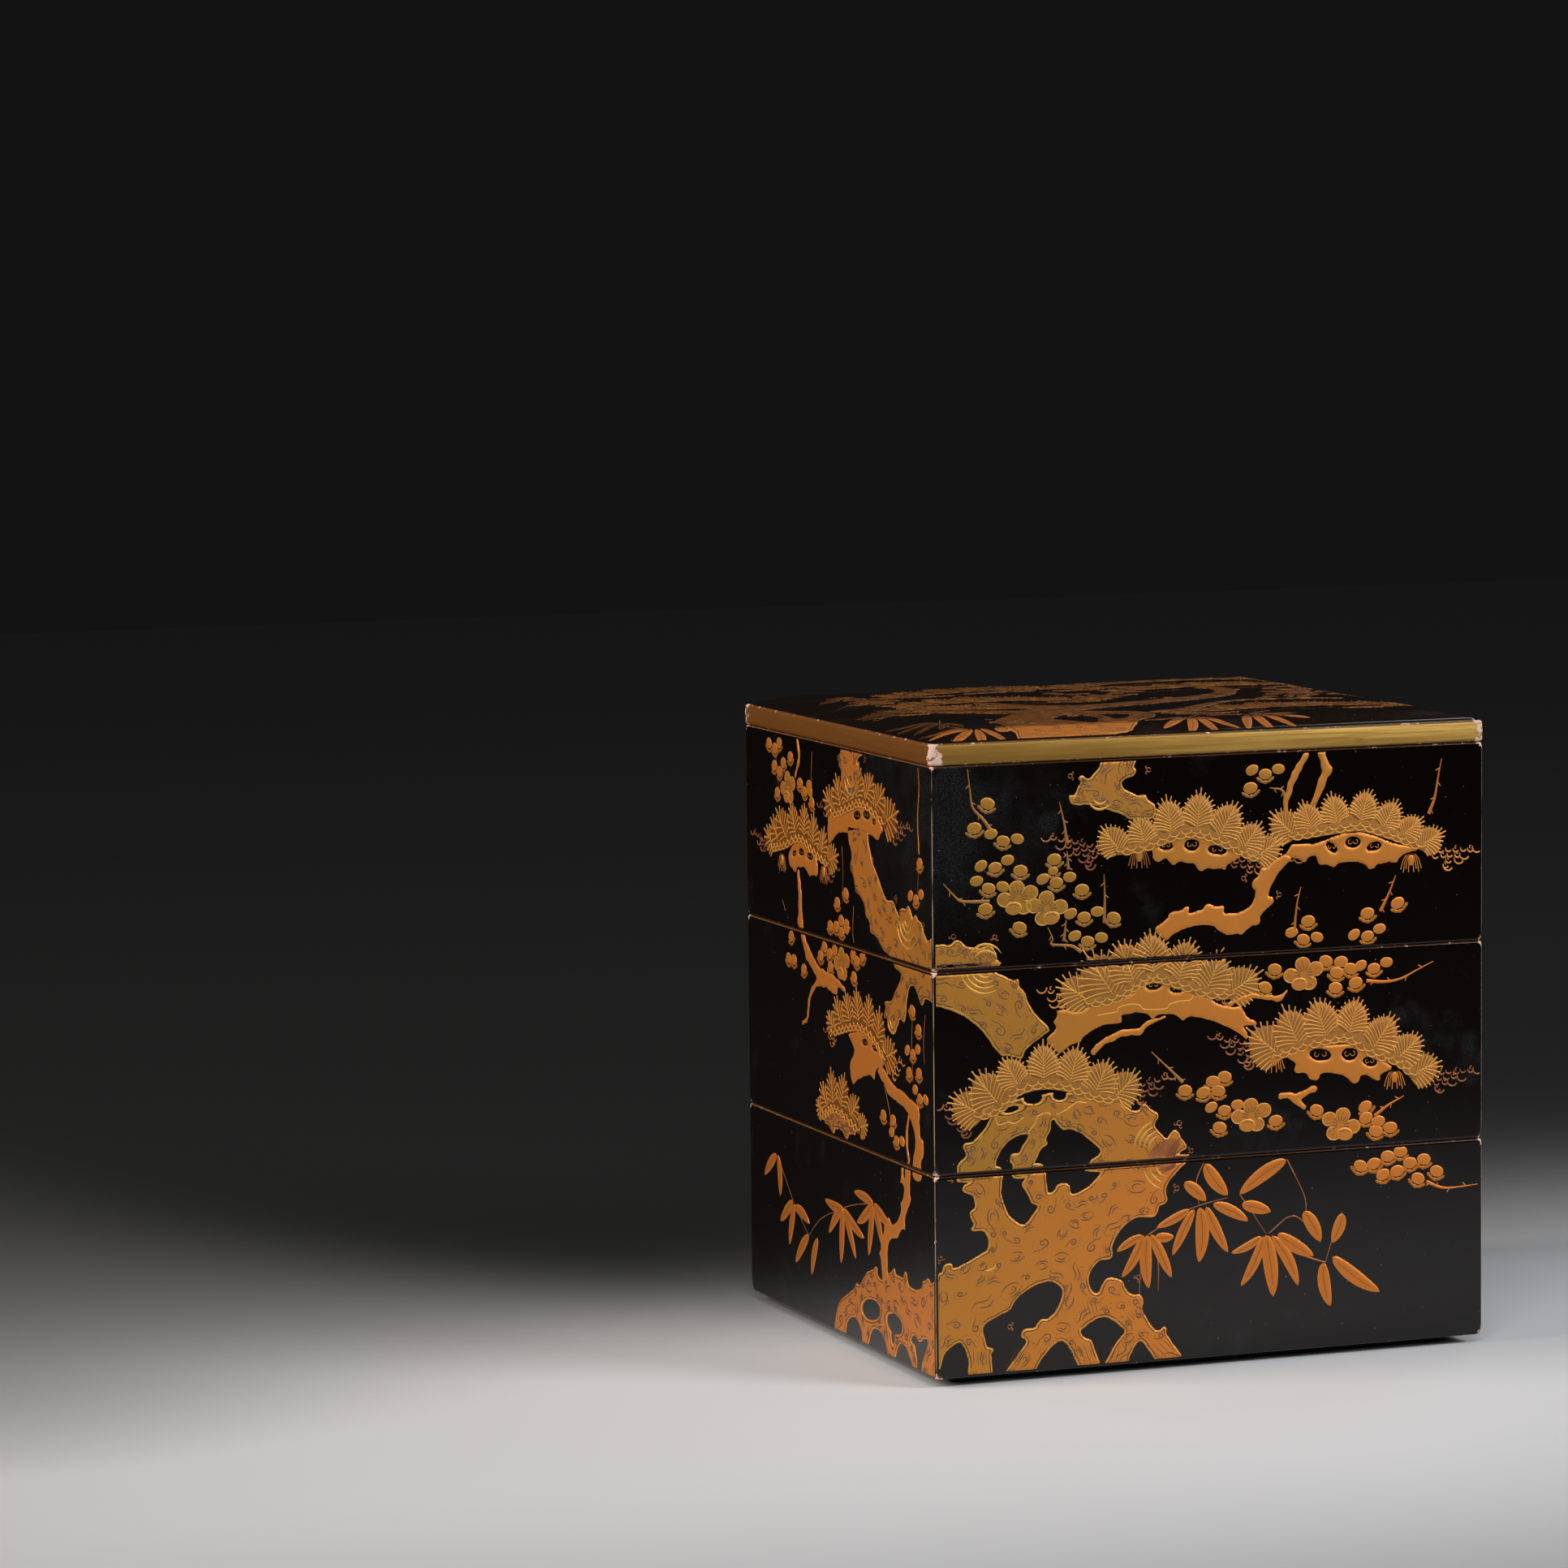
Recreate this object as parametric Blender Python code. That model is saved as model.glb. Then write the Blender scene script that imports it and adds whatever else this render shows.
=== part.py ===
"""A lacquer stacking box: three square-shouldered tiers, each nesting in the one below, under a lift-off lid.

Every tier is an open wooden box with a shallow step under its floor. The step of the upper tiers drops into the
mouth of the tier beneath, and the lowest one stands on its own. The lid has the same step under it, a shallow
recess inside the step, and a low bevelled top. The wide decorated front faces -Y.
"""

import bmesh
import bpy
from mathutils import Vector

MM = 0.001

# Driving dimensions
WIDTH = 228.0 * MM
DEPTH = 202.0 * MM
TIER_NAMES = ("bottom_tier", "middle_tier", "top_tier")
TIER_PITCH = 77.0 * MM
WALL = 8.5 * MM
FLOOR = 6.5 * MM
STEP_HEIGHT = 3.5 * MM
STEP_PLAY = 1.5 * MM
SEAT_GAP = 0.3 * MM
EDGE_RADIUS = 0.8 * MM
TOP_CORNER = 1.4 * MM
BOTTOM_CORNER = 3.2 * MM
INNER_RADIUS = 4.0 * MM
STEP_RADIUS = 2.0 * MM
LID_OVERHANG = 0.5 * MM
LID_BAND = 8.2 * MM
LID_BAND_RADIUS = 1.6 * MM
LID_BEVEL = 16.0 * MM
LID_RISE = 3.9 * MM
LID_BOARD = 7.0 * MM
LID_STEP_WALL = 7.0 * MM

# Fits worked out from the driving dimensions
STEP_INSET = WALL + STEP_PLAY
TIER_HEIGHT = TIER_PITCH - SEAT_GAP
LID_SEAT = STEP_HEIGHT + len(TIER_NAMES) * TIER_PITCH
LID_TOP = LID_SEAT + LID_BAND + LID_RISE
CUT_THROUGH = 5.0 * MM
JOIN_DEPTH = 2.0 * MM

LACQUER_BLACK = (0.012, 0.010, 0.009, 1.0)
LACQUER_ROUGHNESS = 0.14


def fresh_collection(name):
    """A collection of the given name, linked to the scene."""
    collection = bpy.data.collections.new(name)
    bpy.context.scene.collection.children.link(collection)
    return collection


def lacquer(name):
    """Glossy black lacquer over wood."""
    material = bpy.data.materials.new(name)
    material.use_nodes = True
    shader = material.node_tree.nodes["Principled BSDF"]
    shader.inputs["Base Color"].default_value = LACQUER_BLACK
    shader.inputs["Roughness"].default_value = LACQUER_ROUGHNESS
    shader.inputs["Metallic"].default_value = 0.0
    return material


def cuboid(size, base_z):
    """A box of the given size as a bmesh, centred on the Z axis, with its underside at base_z."""
    bm = bmesh.new()
    bmesh.ops.create_cube(bm, size=1.0)
    bmesh.ops.scale(bm, vec=size, verts=bm.verts)
    bmesh.ops.translate(bm, vec=(0.0, 0.0, base_z + size[2] / 2), verts=bm.verts)
    return bm


def verts_at(bm, z):
    """The vertices of bm at the height z."""
    return [v for v in bm.verts if abs(v.co.z - z) < EDGE_RADIUS / 10]


def long_edges(bm, size):
    """The edges of bm that run most of the way along one side of a box of the given size."""
    shortest = min(size) / 2
    return [edge for edge in bm.edges if edge.calc_length() > shortest]


def upright_edges(bm):
    """The edges of bm that run along Z."""
    return [edge for edge in bm.edges if abs((edge.verts[0].co - edge.verts[1].co).normalized().z) > 0.99]


def round_corners(bm, z, radius):
    """Round off the box corners at the height z."""
    bmesh.ops.bevel(bm, geom=verts_at(bm, z), offset=radius, offset_type="OFFSET", segments=3, profile=0.5,
                    affect="VERTICES", clamp_overlap=True)


def round_edges(bm, edges, radius, segments=2):
    """Round off the given edges."""
    bmesh.ops.bevel(bm, geom=edges, offset=radius, offset_type="OFFSET", segments=segments, profile=0.5,
                    affect="EDGES", clamp_overlap=True)


def finish_object(bm, name, collection, material=None):
    """Turn bm into a named object in the collection, with flat faces and an optional material."""
    bmesh.ops.recalc_face_normals(bm, faces=bm.faces)
    mesh = bpy.data.meshes.new(name)
    bm.to_mesh(mesh)
    bm.free()
    obj = bpy.data.objects.new(name, mesh)
    collection.objects.link(obj)
    if material is not None:
        mesh.materials.append(material)
    return obj


def helper_object(bm, name, collection):
    """A guide or cutter: drawn as wire, and left out of the finished box."""
    obj = finish_object(bm, name, collection)
    obj.hide_render = True
    obj.display_type = "WIRE"
    return obj


def boolean(obj, other, operation):
    """Add an exact Boolean of obj with other."""
    modifier = obj.modifiers.new(f"{operation} {other.name}", "BOOLEAN")
    modifier.operation = operation
    modifier.solver = "EXACT"
    modifier.object = other


def step_block(base_z, height):
    """The block of the step under a tier or the lid, with rounded upright edges."""
    size = (WIDTH - 2 * STEP_INSET, DEPTH - 2 * STEP_INSET, height)
    bm = cuboid(size, base_z)
    round_edges(bm, upright_edges(bm), STEP_RADIUS)
    return bm


def hollow_block(inset, base_z, height, radius):
    """A cutter for a hollow whose sides stand inset from the outside, with rounded upright and lower edges."""
    size = (WIDTH - 2 * inset, DEPTH - 2 * inset, height)
    bm = cuboid(size, base_z)
    lower = [edge for edge in bm.edges if all(abs(v.co.z - base_z) < EDGE_RADIUS / 10 for v in edge.verts)]
    round_edges(bm, upright_edges(bm) + lower, radius, segments=3)
    return bm


def build_tier(index, parts, helpers):
    """One tier: the walls, the step under its floor, and the hollow inside. Its walls start at the seam below."""
    name = TIER_NAMES[index]
    wall_base = STEP_HEIGHT + index * TIER_PITCH
    wall_top = wall_base + TIER_HEIGHT
    size = (WIDTH, DEPTH, TIER_HEIGHT)
    bm = cuboid(size, wall_base)
    round_corners(bm, wall_base, BOTTOM_CORNER)
    round_corners(bm, wall_top, TOP_CORNER)
    round_edges(bm, long_edges(bm, size), EDGE_RADIUS)
    tier = finish_object(bm, name, parts, lacquer(f"{name} lacquer"))
    step_base = wall_base - STEP_HEIGHT
    step = step_block(step_base, STEP_HEIGHT + JOIN_DEPTH)
    boolean(tier, helper_object(step, f"{name} step", helpers), "UNION")
    floor_top = step_base + FLOOR
    hollow = hollow_block(WALL, floor_top, wall_top + CUT_THROUGH - floor_top, INNER_RADIUS)
    boolean(tier, helper_object(hollow, f"{name} hollow", helpers), "DIFFERENCE")
    return tier


def build_lid(parts, helpers):
    """The lid: a rounded band, a low bevel up to a flat top, the step under it, and the recess in the step."""
    seat = LID_SEAT
    size = (WIDTH + 2 * LID_OVERHANG, DEPTH + 2 * LID_OVERHANG, LID_BAND)
    bm = cuboid(size, seat)
    round_edges(bm, long_edges(bm, (WIDTH, DEPTH, 2 * WIDTH)) + upright_edges(bm), LID_BAND_RADIUS)
    bm.normal_update()
    top = max((face for face in bm.faces if face.normal.z > 0.99), key=lambda face: face.calc_area())
    bmesh.ops.inset_region(bm, faces=[top], thickness=LID_BEVEL - LID_BAND_RADIUS)
    bmesh.ops.translate(bm, vec=Vector((0.0, 0.0, LID_RISE)), verts=top.verts)
    lid = finish_object(bm, "lid", parts, lacquer("lid lacquer"))
    step = step_block(seat - STEP_HEIGHT, STEP_HEIGHT + JOIN_DEPTH)
    boolean(lid, helper_object(step, "lid step", helpers), "UNION")
    recess_base = seat - STEP_HEIGHT - CUT_THROUGH
    recess_size = (
        WIDTH - 2 * (STEP_INSET + LID_STEP_WALL),
        DEPTH - 2 * (STEP_INSET + LID_STEP_WALL),
        LID_TOP - LID_BOARD - recess_base,
    )
    recess = cuboid(recess_size, recess_base)
    round_edges(recess, upright_edges(recess), STEP_RADIUS)
    boolean(lid, helper_object(recess, "lid recess", helpers), "DIFFERENCE")
    return lid


def main():
    """Clear the scene and build the stacking box."""
    for obj in list(bpy.data.objects):
        bpy.data.objects.remove(obj, do_unlink=True)
    parts = fresh_collection("lacquer stacking box")
    helpers = fresh_collection("cutters")
    for index in range(len(TIER_NAMES)):
        build_tier(index, parts, helpers)
    build_lid(parts, helpers)


main()
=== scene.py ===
"""Looks of the lacquer stacking box: black lacquer tiers and lid with worn edges, and the gold picture of
pine, plum and bamboo that runs over their faces as a low relief. Metres, +Z up, the wide decorated front
faces -Y."""

import math

import bmesh
import bpy
import numpy as np
from mathutils import Euler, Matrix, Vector


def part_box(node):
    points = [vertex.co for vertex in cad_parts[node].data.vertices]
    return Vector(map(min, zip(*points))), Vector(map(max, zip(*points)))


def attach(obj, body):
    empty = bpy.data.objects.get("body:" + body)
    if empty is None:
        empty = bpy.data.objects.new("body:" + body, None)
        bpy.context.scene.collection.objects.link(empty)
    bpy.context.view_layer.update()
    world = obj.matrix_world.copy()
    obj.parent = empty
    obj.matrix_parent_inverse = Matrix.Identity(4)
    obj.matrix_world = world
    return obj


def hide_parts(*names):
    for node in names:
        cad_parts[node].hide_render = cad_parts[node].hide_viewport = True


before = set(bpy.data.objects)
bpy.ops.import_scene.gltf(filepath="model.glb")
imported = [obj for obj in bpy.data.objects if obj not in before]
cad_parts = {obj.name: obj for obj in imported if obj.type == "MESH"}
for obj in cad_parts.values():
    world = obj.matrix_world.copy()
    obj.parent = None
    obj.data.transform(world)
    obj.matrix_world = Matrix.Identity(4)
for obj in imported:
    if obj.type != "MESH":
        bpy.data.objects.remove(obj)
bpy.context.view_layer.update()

MM = 0.001
TIERS = ("bottom_tier", "middle_tier", "top_tier")

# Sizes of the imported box, read from the frame, in millimetres
LOW, HIGH = (np.array(corner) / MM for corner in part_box("middle_tier"))
WIDTH, DEPTH = (HIGH - LOW)[:2]
TIER_BASE = [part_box(name)[0][2] / MM for name in TIERS]
TIER_TOP = [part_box(name)[1][2] / MM for name in TIERS]
PITCH = TIER_BASE[1] - TIER_BASE[0]
LID_LOW, LID_HIGH = (np.array(corner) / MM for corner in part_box("lid"))
LID_WIDTH, LID_DEPTH = (LID_HIGH - LID_LOW)[:2]

# Sizes of the profiles, in millimetres, as the solids have them
STEP = 3.5
STEP_INSET = 10.0
WALL = 8.5
FLOOR = 6.5
SEAT = LID_LOW[2] + STEP
BAND = 8.2
LID_BEVEL = 16.0
LID_BOARD = 7.0
LID_STEP_WALL = 7.0
EDGE = 0.7

# Height of the gold's outline over the lacquer, in millimetres: a little under it, so that no gap shows
SINK = -0.05

# Inset at which the level rows of a shell end and their middle is filled flat, in millimetres
FILL_INSET = 60.0

# How far the picture keeps from the rounded edges, in millimetres: sideways, up and down, and on the lid
SIDE_GAP = 0.4
LEVEL_GAP = 0.3
LID_GAP = 2.4

# The camera of the photo: its place in metres, its turn in degrees and its lens in millimetres
CAMERA_PLACE = (-0.912, -2.1079, 0.4407)
CAMERA_TURN = (84.389, 0.605, -20.295)
CAMERA_LENS = 134.3


# Meshes


def smooth(points, count=48):
    """Places along a curve through the points: the Catmull-Rom cubic between each pair. Further columns,
    such as a half width, ride along with the place."""
    p = np.asarray(points, float)
    p = np.vstack([2 * p[0] - p[1], p, 2 * p[-1] - p[-2]])
    t = np.linspace(0, len(p) - 3, count)
    i = np.minimum(t.astype(int), len(p) - 4)
    t = (t - i)[:, None]
    a, b, c, d = p[i], p[i + 1], p[i + 2], p[i + 3]
    return 0.5 * (2 * b + (c - a) * t + (2 * a - 5 * b + 4 * c - d) * t**2 + (3 * b - a - 3 * c + d) * t**3)


def grid_faces(rows, cols, closed=False):
    """Quads of a grid whose rows run along the first parameter; closed joins the last column to the
    first."""
    i, j = np.meshgrid(np.arange(rows - 1), np.arange(cols if closed else cols - 1), indexing="ij")
    k = (j + 1) % cols
    return np.stack([i * cols + j, (i + 1) * cols + j, (i + 1) * cols + k, i * cols + k], -1).reshape(-1, 4)


def mesh_object(name, points, faces, materials, slots=None, paint=None):
    """A named object from points in metres, with smooth faces, a material slot per face and paint per
    point."""
    mesh = bpy.data.meshes.new(name)
    mesh.from_pydata(np.asarray(points).tolist(), [], faces)
    mesh.polygons.foreach_set("use_smooth", np.ones(len(mesh.polygons), bool))
    for material in materials:
        mesh.materials.append(material)
    if slots is not None:
        mesh.polygons.foreach_set("material_index", np.asarray(slots, np.int32))
    if paint is not None:
        layer = mesh.attributes.new("paint", "FLOAT_VECTOR", "POINT")
        layer.data.foreach_set("vector", np.asarray(paint, np.float32).ravel())
    obj = bpy.data.objects.new(name, mesh)
    bpy.context.scene.collection.objects.link(obj)
    return obj


def ellipse(angles, wide=1.0, high=1.0):
    """Places on an ellipse about zero, at angles in radians."""
    return np.column_stack([np.cos(angles) * wide, np.sin(angles) * high])


def spin(turn):
    """The matrix that turns rows of places by an angle in degrees."""
    t = math.radians(turn)
    return np.array([[math.cos(t), math.sin(t)], [-math.sin(t), math.cos(t)]])


# Shader maths


class Wire:
    """A value on its way through a material's nodes. Python's operators on it add Math nodes."""

    def __init__(self, finish, socket):
        self.finish = finish
        self.socket = socket

    def math(self, operation, *others):
        values = dict(enumerate((self,) + others))
        return self.finish.node("ShaderNodeMath", {"operation": operation}, values)

    def __add__(self, other):
        return self.math("ADD", other)

    __radd__ = __add__

    def __sub__(self, other):
        return self.math("SUBTRACT", other)

    def __rsub__(self, other):
        return self.finish.node("ShaderNodeMath", {"operation": "SUBTRACT"}, {0: other, 1: self})

    def __mul__(self, other):
        return self.math("MULTIPLY", other)

    __rmul__ = __mul__

    def __truediv__(self, other):
        return self.math("DIVIDE", other)

    def __pow__(self, other):
        return self.math("POWER", other)

    def __abs__(self):
        return self.math("ABSOLUTE")

    def least(self, other):
        return self.math("MINIMUM", other)

    def most(self, other):
        return self.math("MAXIMUM", other)

    def ramp(self, low, high):
        """0 below low and 1 above high, smooth between them; low may be the larger one."""
        settings = {"interpolation_type": "SMOOTHSTEP"}
        if low > high:
            return 1 - self.ramp(high, low)
        return self.finish.node("ShaderNodeMapRange", settings, {0: self, 1: low, 2: high})


class Finish:
    """One material under construction: its node tree and its shader."""

    def __init__(self, name, **uniform):
        self.material = bpy.data.materials.new(name)
        self.material.use_nodes = True
        self.tree = self.material.node_tree
        self.shader = self.tree.nodes["Principled BSDF"]
        for socket, value in uniform.items():
            self.shader.inputs[socket.replace("_", " ")].default_value = value

    def node(self, kind, settings, values, output=0):
        """Add a node: its settings first, then the values or links of its sockets. Returns one output."""
        node = self.tree.nodes.new(kind)
        for key, value in settings.items():
            setattr(node, key, value)
        for key, value in values.items():
            if isinstance(value, Wire):
                self.tree.links.new(value.socket, node.inputs[key])
            else:
                node.inputs[key].default_value = value
        return Wire(self, node.outputs[output])

    def place(self, scale=(1, 1, 1)):
        """Object coordinates in millimetres, stretched by scale, as a vector."""
        place = self.node("ShaderNodeTexCoord", {}, {}, "Object")
        size = tuple(s / MM for s in scale)
        return self.node("ShaderNodeMapping", {}, {"Vector": place, "Scale": size})

    def split(self, vector):
        """The three numbers of a vector."""
        apart = self.node("ShaderNodeSeparateXYZ", {}, {0: vector}).socket.node
        return [Wire(self, socket) for socket in apart.outputs]

    def noise(self, scale, detail=3.0, rough=0.55, stretch=(1, 1, 1), offset=0.0):
        """Cloudy noise between 0 and 1 with features about 1/scale millimetres across."""
        place = self.place(stretch)
        if offset:
            place = self.node("ShaderNodeVectorMath", {"operation": "ADD"}, {0: place, 1: (offset,) * 3})
        values = {"Vector": place, "Scale": scale, "Detail": detail, "Roughness": rough}
        return self.node("ShaderNodeTexNoise", {}, values)

    def specks(self, scale, size, offset=0.0):
        """1 in small round spots of the given size, in cells 1/scale millimetres across."""
        place = self.node("ShaderNodeVectorMath", {"operation": "ADD"}, {0: self.place(), 1: (offset,) * 3})
        cells = self.node("ShaderNodeTexVoronoi", {}, {"Vector": place, "Scale": scale})
        return cells.ramp(size, size * 0.6)

    def mix(self, factor, first, second):
        """A colour between first and second."""
        colours = {0: factor, 6: self.colour(first), 7: self.colour(second)}
        return self.node("ShaderNodeMix", {"data_type": "RGBA"}, colours, 2)

    @staticmethod
    def colour(value):
        """Red, green and blue as a socket takes them; a wire stays as it is."""
        return value if isinstance(value, Wire) else tuple(value) + (1.0,) * (4 - len(value))

    def feed(self, socket, value):
        """Link a wire to one of the shader's sockets."""
        self.tree.links.new(value.socket, self.shader.inputs[socket])

    def bump(self, height):
        """Feed a height in millimetres to the normal."""
        values = {"Strength": 1.0, "Distance": MM, "Height": height}
        self.feed("Normal", self.node("ShaderNodeBump", {}, values))


# Colours, as a shader takes them

LACQUER = (0.0024, 0.0013, 0.0009)
LACQUER_HAZE = (0.030, 0.032, 0.034)
LACQUER_RUBBED = (0.02, 0.017, 0.015)
LID_LACQUER = (0.006, 0.003, 0.002)
LID_HAZE = (0.030, 0.018, 0.012)
RIM_RED = (0.06, 0.024, 0.010)
RIM_WARM_LIT = (0.2, 0.085, 0.02)
INSIDE_RED = (0.19, 0.022, 0.012)
GESSO = (0.62, 0.42, 0.33)
GESSO_BROWN = (0.24, 0.10, 0.055)
EDGE_WEAR_AND_HIGHLIGHT = (0.55, 0.42, 0.26)
DUST = (0.30, 0.29, 0.27)
BAND_GOLD = (0.37, 0.20, 0.034)
BAND_PALE = (0.58, 0.36, 0.080)
BAND_DARK_STAIN_AND_SHADE = (0.25, 0.125, 0.016)
BAND_SHADE = (0.09, 0.045, 0.016)
BAND_WARM_LIT = (0.21, 0.062, 0.012)
COOL_WEB = (0.29, 0.125, 0.012)
COOL_LINE = (0.58, 0.32, 0.055)
WARM_WEB = (0.52, 0.138, 0.012)
WARM_LINE = (0.78, 0.31, 0.062)
TAN = (0.33, 0.155, 0.045)
GOLD_RUBBED = (0.22, 0.085, 0.03)
GOLD_DARK = (0.02, 0.008, 0.003)
RUSSET_DARK = (0.20, 0.056, 0.018)
RUSSET_PALE = (0.42, 0.15, 0.04)
ENGRAVED = (0.045, 0.018, 0.006)
ENGRAVED_PALE = (0.13, 0.055, 0.018)


def near_corner(x, y, z, z_low, z_high):
    """How far, in millimetres, a point on the walls is from the upright edges and from the two level
    edges."""
    side = (WIDTH / 2 - abs(x)).most(DEPTH / 2 - abs(y))
    level = (z - z_low).least(z_high - z)
    return side, level


def lacquer_wall(name, z_low, z_high):
    """Gloss black lacquer of one tier's outside: haze and dust on it, chips to the pale ground along its
    edges, and a worn red-brown line at its upper edge, tinted orange on the left face as painted warm
    light. A broken pale gold line along the upright edges is partly wear and partly a painted highlight."""
    finish = Finish(name, Specular_IOR_Level=0.42)
    x, y, z = finish.split(finish.place())
    side, level = near_corner(x, y, z, z_low, z_high)
    cloud = finish.noise(0.035, 4.0, 0.6)
    corner_haze = x.ramp(-52.0, -100.0) * z.ramp(150.0, 215.0) * y.ramp(0.0, -90.0)
    haze = (cloud.ramp(0.58, 0.76) + corner_haze * (0.35 + cloud.ramp(0.35, 0.6))).least(1.0)
    haze = haze * finish.noise(2.2, 4.0, 0.75).ramp(0.3, 0.75)
    dust = finish.specks(0.22, 0.045) * finish.noise(0.02, 2.0).ramp(0.45, 0.6)
    base = finish.mix(haze * 0.45, LACQUER, LACQUER_HAZE)
    base = finish.mix(dust * 0.8, base, DUST)
    flaw = finish.noise(0.55, 3.0, 0.6, offset=3.0)
    reach = finish.noise(0.11, 2.0, 0.5, offset=9.0).ramp(0.35, 0.7)
    corner = (side**2.0 + level**2.0).math("SQRT")
    at_corner = corner.ramp(3.4, 0.8) * 0.34
    at_edge = side.least(level).ramp(0.9, 0.1) * (0.03 + 0.15 * reach)
    worn = flaw + at_corner + at_edge
    chip = worn.ramp(0.77, 0.80)
    halo = worn.ramp(0.70, 0.77)
    lip = (z_high - z).ramp(0.55, 0.25)
    # Partly wear, partly painted highlight: a broken pale gold line along the upright edges
    bright = side.ramp(0.42, 0.2) * finish.noise(0.06, 2.0, 0.5, offset=13.0).ramp(0.3, 0.55)
    # Painted warm light: on the left face the worn red-brown line at the upper edge is tinted orange
    left = (x + WIDTH / 2).ramp(2.5, 0.5)
    base = finish.mix(lip * 0.9, base, finish.mix(left * 0.8, RIM_RED, RIM_WARM_LIT))
    base = finish.mix(bright * 0.7, base, EDGE_WEAR_AND_HIGHLIGHT)
    base = finish.mix(halo * 0.8, base, GESSO_BROWN)
    base = finish.mix(chip, base, GESSO)
    finish.feed("Base Color", base)
    scratch = finish.noise(0.9, 2.0, 0.5, stretch=(1.0, 1.0, 0.03)).ramp(0.5, 0.9)
    finish.feed("Roughness", 0.07 + haze * 0.3 + dust * 0.3 + halo * 0.45 + lip * 0.15 + scratch * 0.04)
    finish.bump(finish.noise(0.025, 2.0) * 0.16 - chip * 0.12)
    return finish.material


def lacquer_inside(name):
    """Red lacquer of the inside and of the rims that the tiers meet on."""
    finish = Finish(name)
    wear = finish.noise(0.09, 4.0, 0.6)
    base = finish.mix(wear.ramp(0.4, 0.75), INSIDE_RED, RIM_RED)
    finish.feed("Base Color", base)
    finish.feed("Roughness", 0.2 + wear * 0.2)
    return finish.material


def lacquer_under(name):
    """Plain black lacquer of the steps, rubbed dull where they touch."""
    finish = Finish(name)
    rub = finish.noise(0.12, 4.0, 0.6)
    finish.feed("Base Color", finish.mix(rub.ramp(0.5, 0.8), LACQUER, LACQUER_RUBBED))
    finish.feed("Roughness", 0.25 + rub * 0.35)
    return finish.material


def lid_top_lacquer(name):
    """Gloss black lacquer of the lid's bevel and flat top, with fine scratches, dust and chips at the
    corners."""
    finish = Finish(name)
    x, y, _ = finish.split(finish.place())
    edge = (LID_WIDTH / 2 - abs(x)).least(LID_DEPTH / 2 - abs(y))
    side = (LID_WIDTH / 2 - abs(x)).most(LID_DEPTH / 2 - abs(y))
    haze = finish.noise(0.03, 4.0, 0.6).ramp(0.5, 0.75)
    dust = finish.specks(0.25, 0.05, 5.0)
    flaw = finish.noise(0.5, 3.0, 0.6, offset=7.0)
    at_corner = side.ramp(6.0, 1.0) * edge.ramp(3.0, 0.5) * 0.2
    chip = (flaw + edge.ramp(1.6, 0.4) * 0.16 + at_corner).ramp(0.76, 0.79)
    base = finish.mix(haze * 0.3 + 0.1, LID_LACQUER, LID_HAZE)
    base = finish.mix(dust * 0.7, base, DUST)
    base = finish.mix(chip, base, GESSO)
    finish.feed("Base Color", base)
    finish.shader.inputs["Specular IOR Level"].default_value = 0.3
    finish.feed("Roughness", 0.12 + haze * 0.1 + chip * 0.5)
    finish.bump(finish.noise(0.03, 2.0) * 0.2 - chip * 0.1)
    return finish.material


def band_gold(name):
    """Brass-coloured gold of the lid's band: long streaks, dark stains, scratches and chips at the
    corners. Painted shade darkens its upper and lower edges and its left part, and its left face is
    tinted orange, painted warm light."""
    finish = Finish(name)
    x, y, z = finish.split(finish.place())
    side = (LID_WIDTH / 2 - abs(x)).most(LID_DEPTH / 2 - abs(y))
    level = (z - SEAT).least(SEAT + BAND - z)
    streak = finish.noise(0.5, 4.0, 0.6, stretch=(0.05, 0.05, 1.6))
    cloud = finish.noise(0.03, 3.0, 0.6, offset=2.0)
    stain = finish.noise(0.16, 4.0, 0.7, stretch=(0.35, 0.35, 1.6), offset=5.0).ramp(0.62, 0.72)
    scratch = finish.noise(1.4, 3.0, 0.6, stretch=(0.04, 0.04, 1.0), offset=21.0).ramp(0.55, 0.7)
    base = finish.mix(streak.ramp(0.35, 0.65) * 0.75 + cloud * 0.3, BAND_GOLD, BAND_PALE)
    base = finish.mix(scratch * 0.35, base, BAND_DARK_STAIN_AND_SHADE)
    base = finish.mix(stain * 0.65, base, BAND_DARK_STAIN_AND_SHADE)
    base = finish.mix(level.ramp(1.5, 0.3) * 0.75, base, BAND_SHADE)
    # Painted shade: the band grows darker towards the left
    base = finish.mix(x.ramp(70.0, -100.0) * 0.9, base, BAND_DARK_STAIN_AND_SHADE)
    # Painted warm light: the band's left face is tinted orange
    base = finish.mix((x + LID_WIDTH / 2).ramp(2.5, 0.5) * 0.75, base, BAND_WARM_LIT)
    flaw = finish.noise(0.35, 3.0, 0.6, offset=11.0)
    worn = flaw + side.ramp(7.5, 1.2) * 0.32 + level.ramp(1.1, 0.2) * 0.15
    base = finish.mix(worn.ramp(0.70, 0.76) * 0.8, base, GESSO_BROWN)
    chip = worn.ramp(0.76, 0.79)
    base = finish.mix(chip, base, GESSO)
    finish.feed("Base Color", base)
    finish.feed("Metallic", 0.55 * (1 - worn.ramp(0.70, 0.76)))
    finish.feed("Roughness", 0.34 + streak * 0.2 + chip * 0.3)
    finish.bump(streak * 0.05 - chip * 0.12)
    return finish.material


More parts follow.
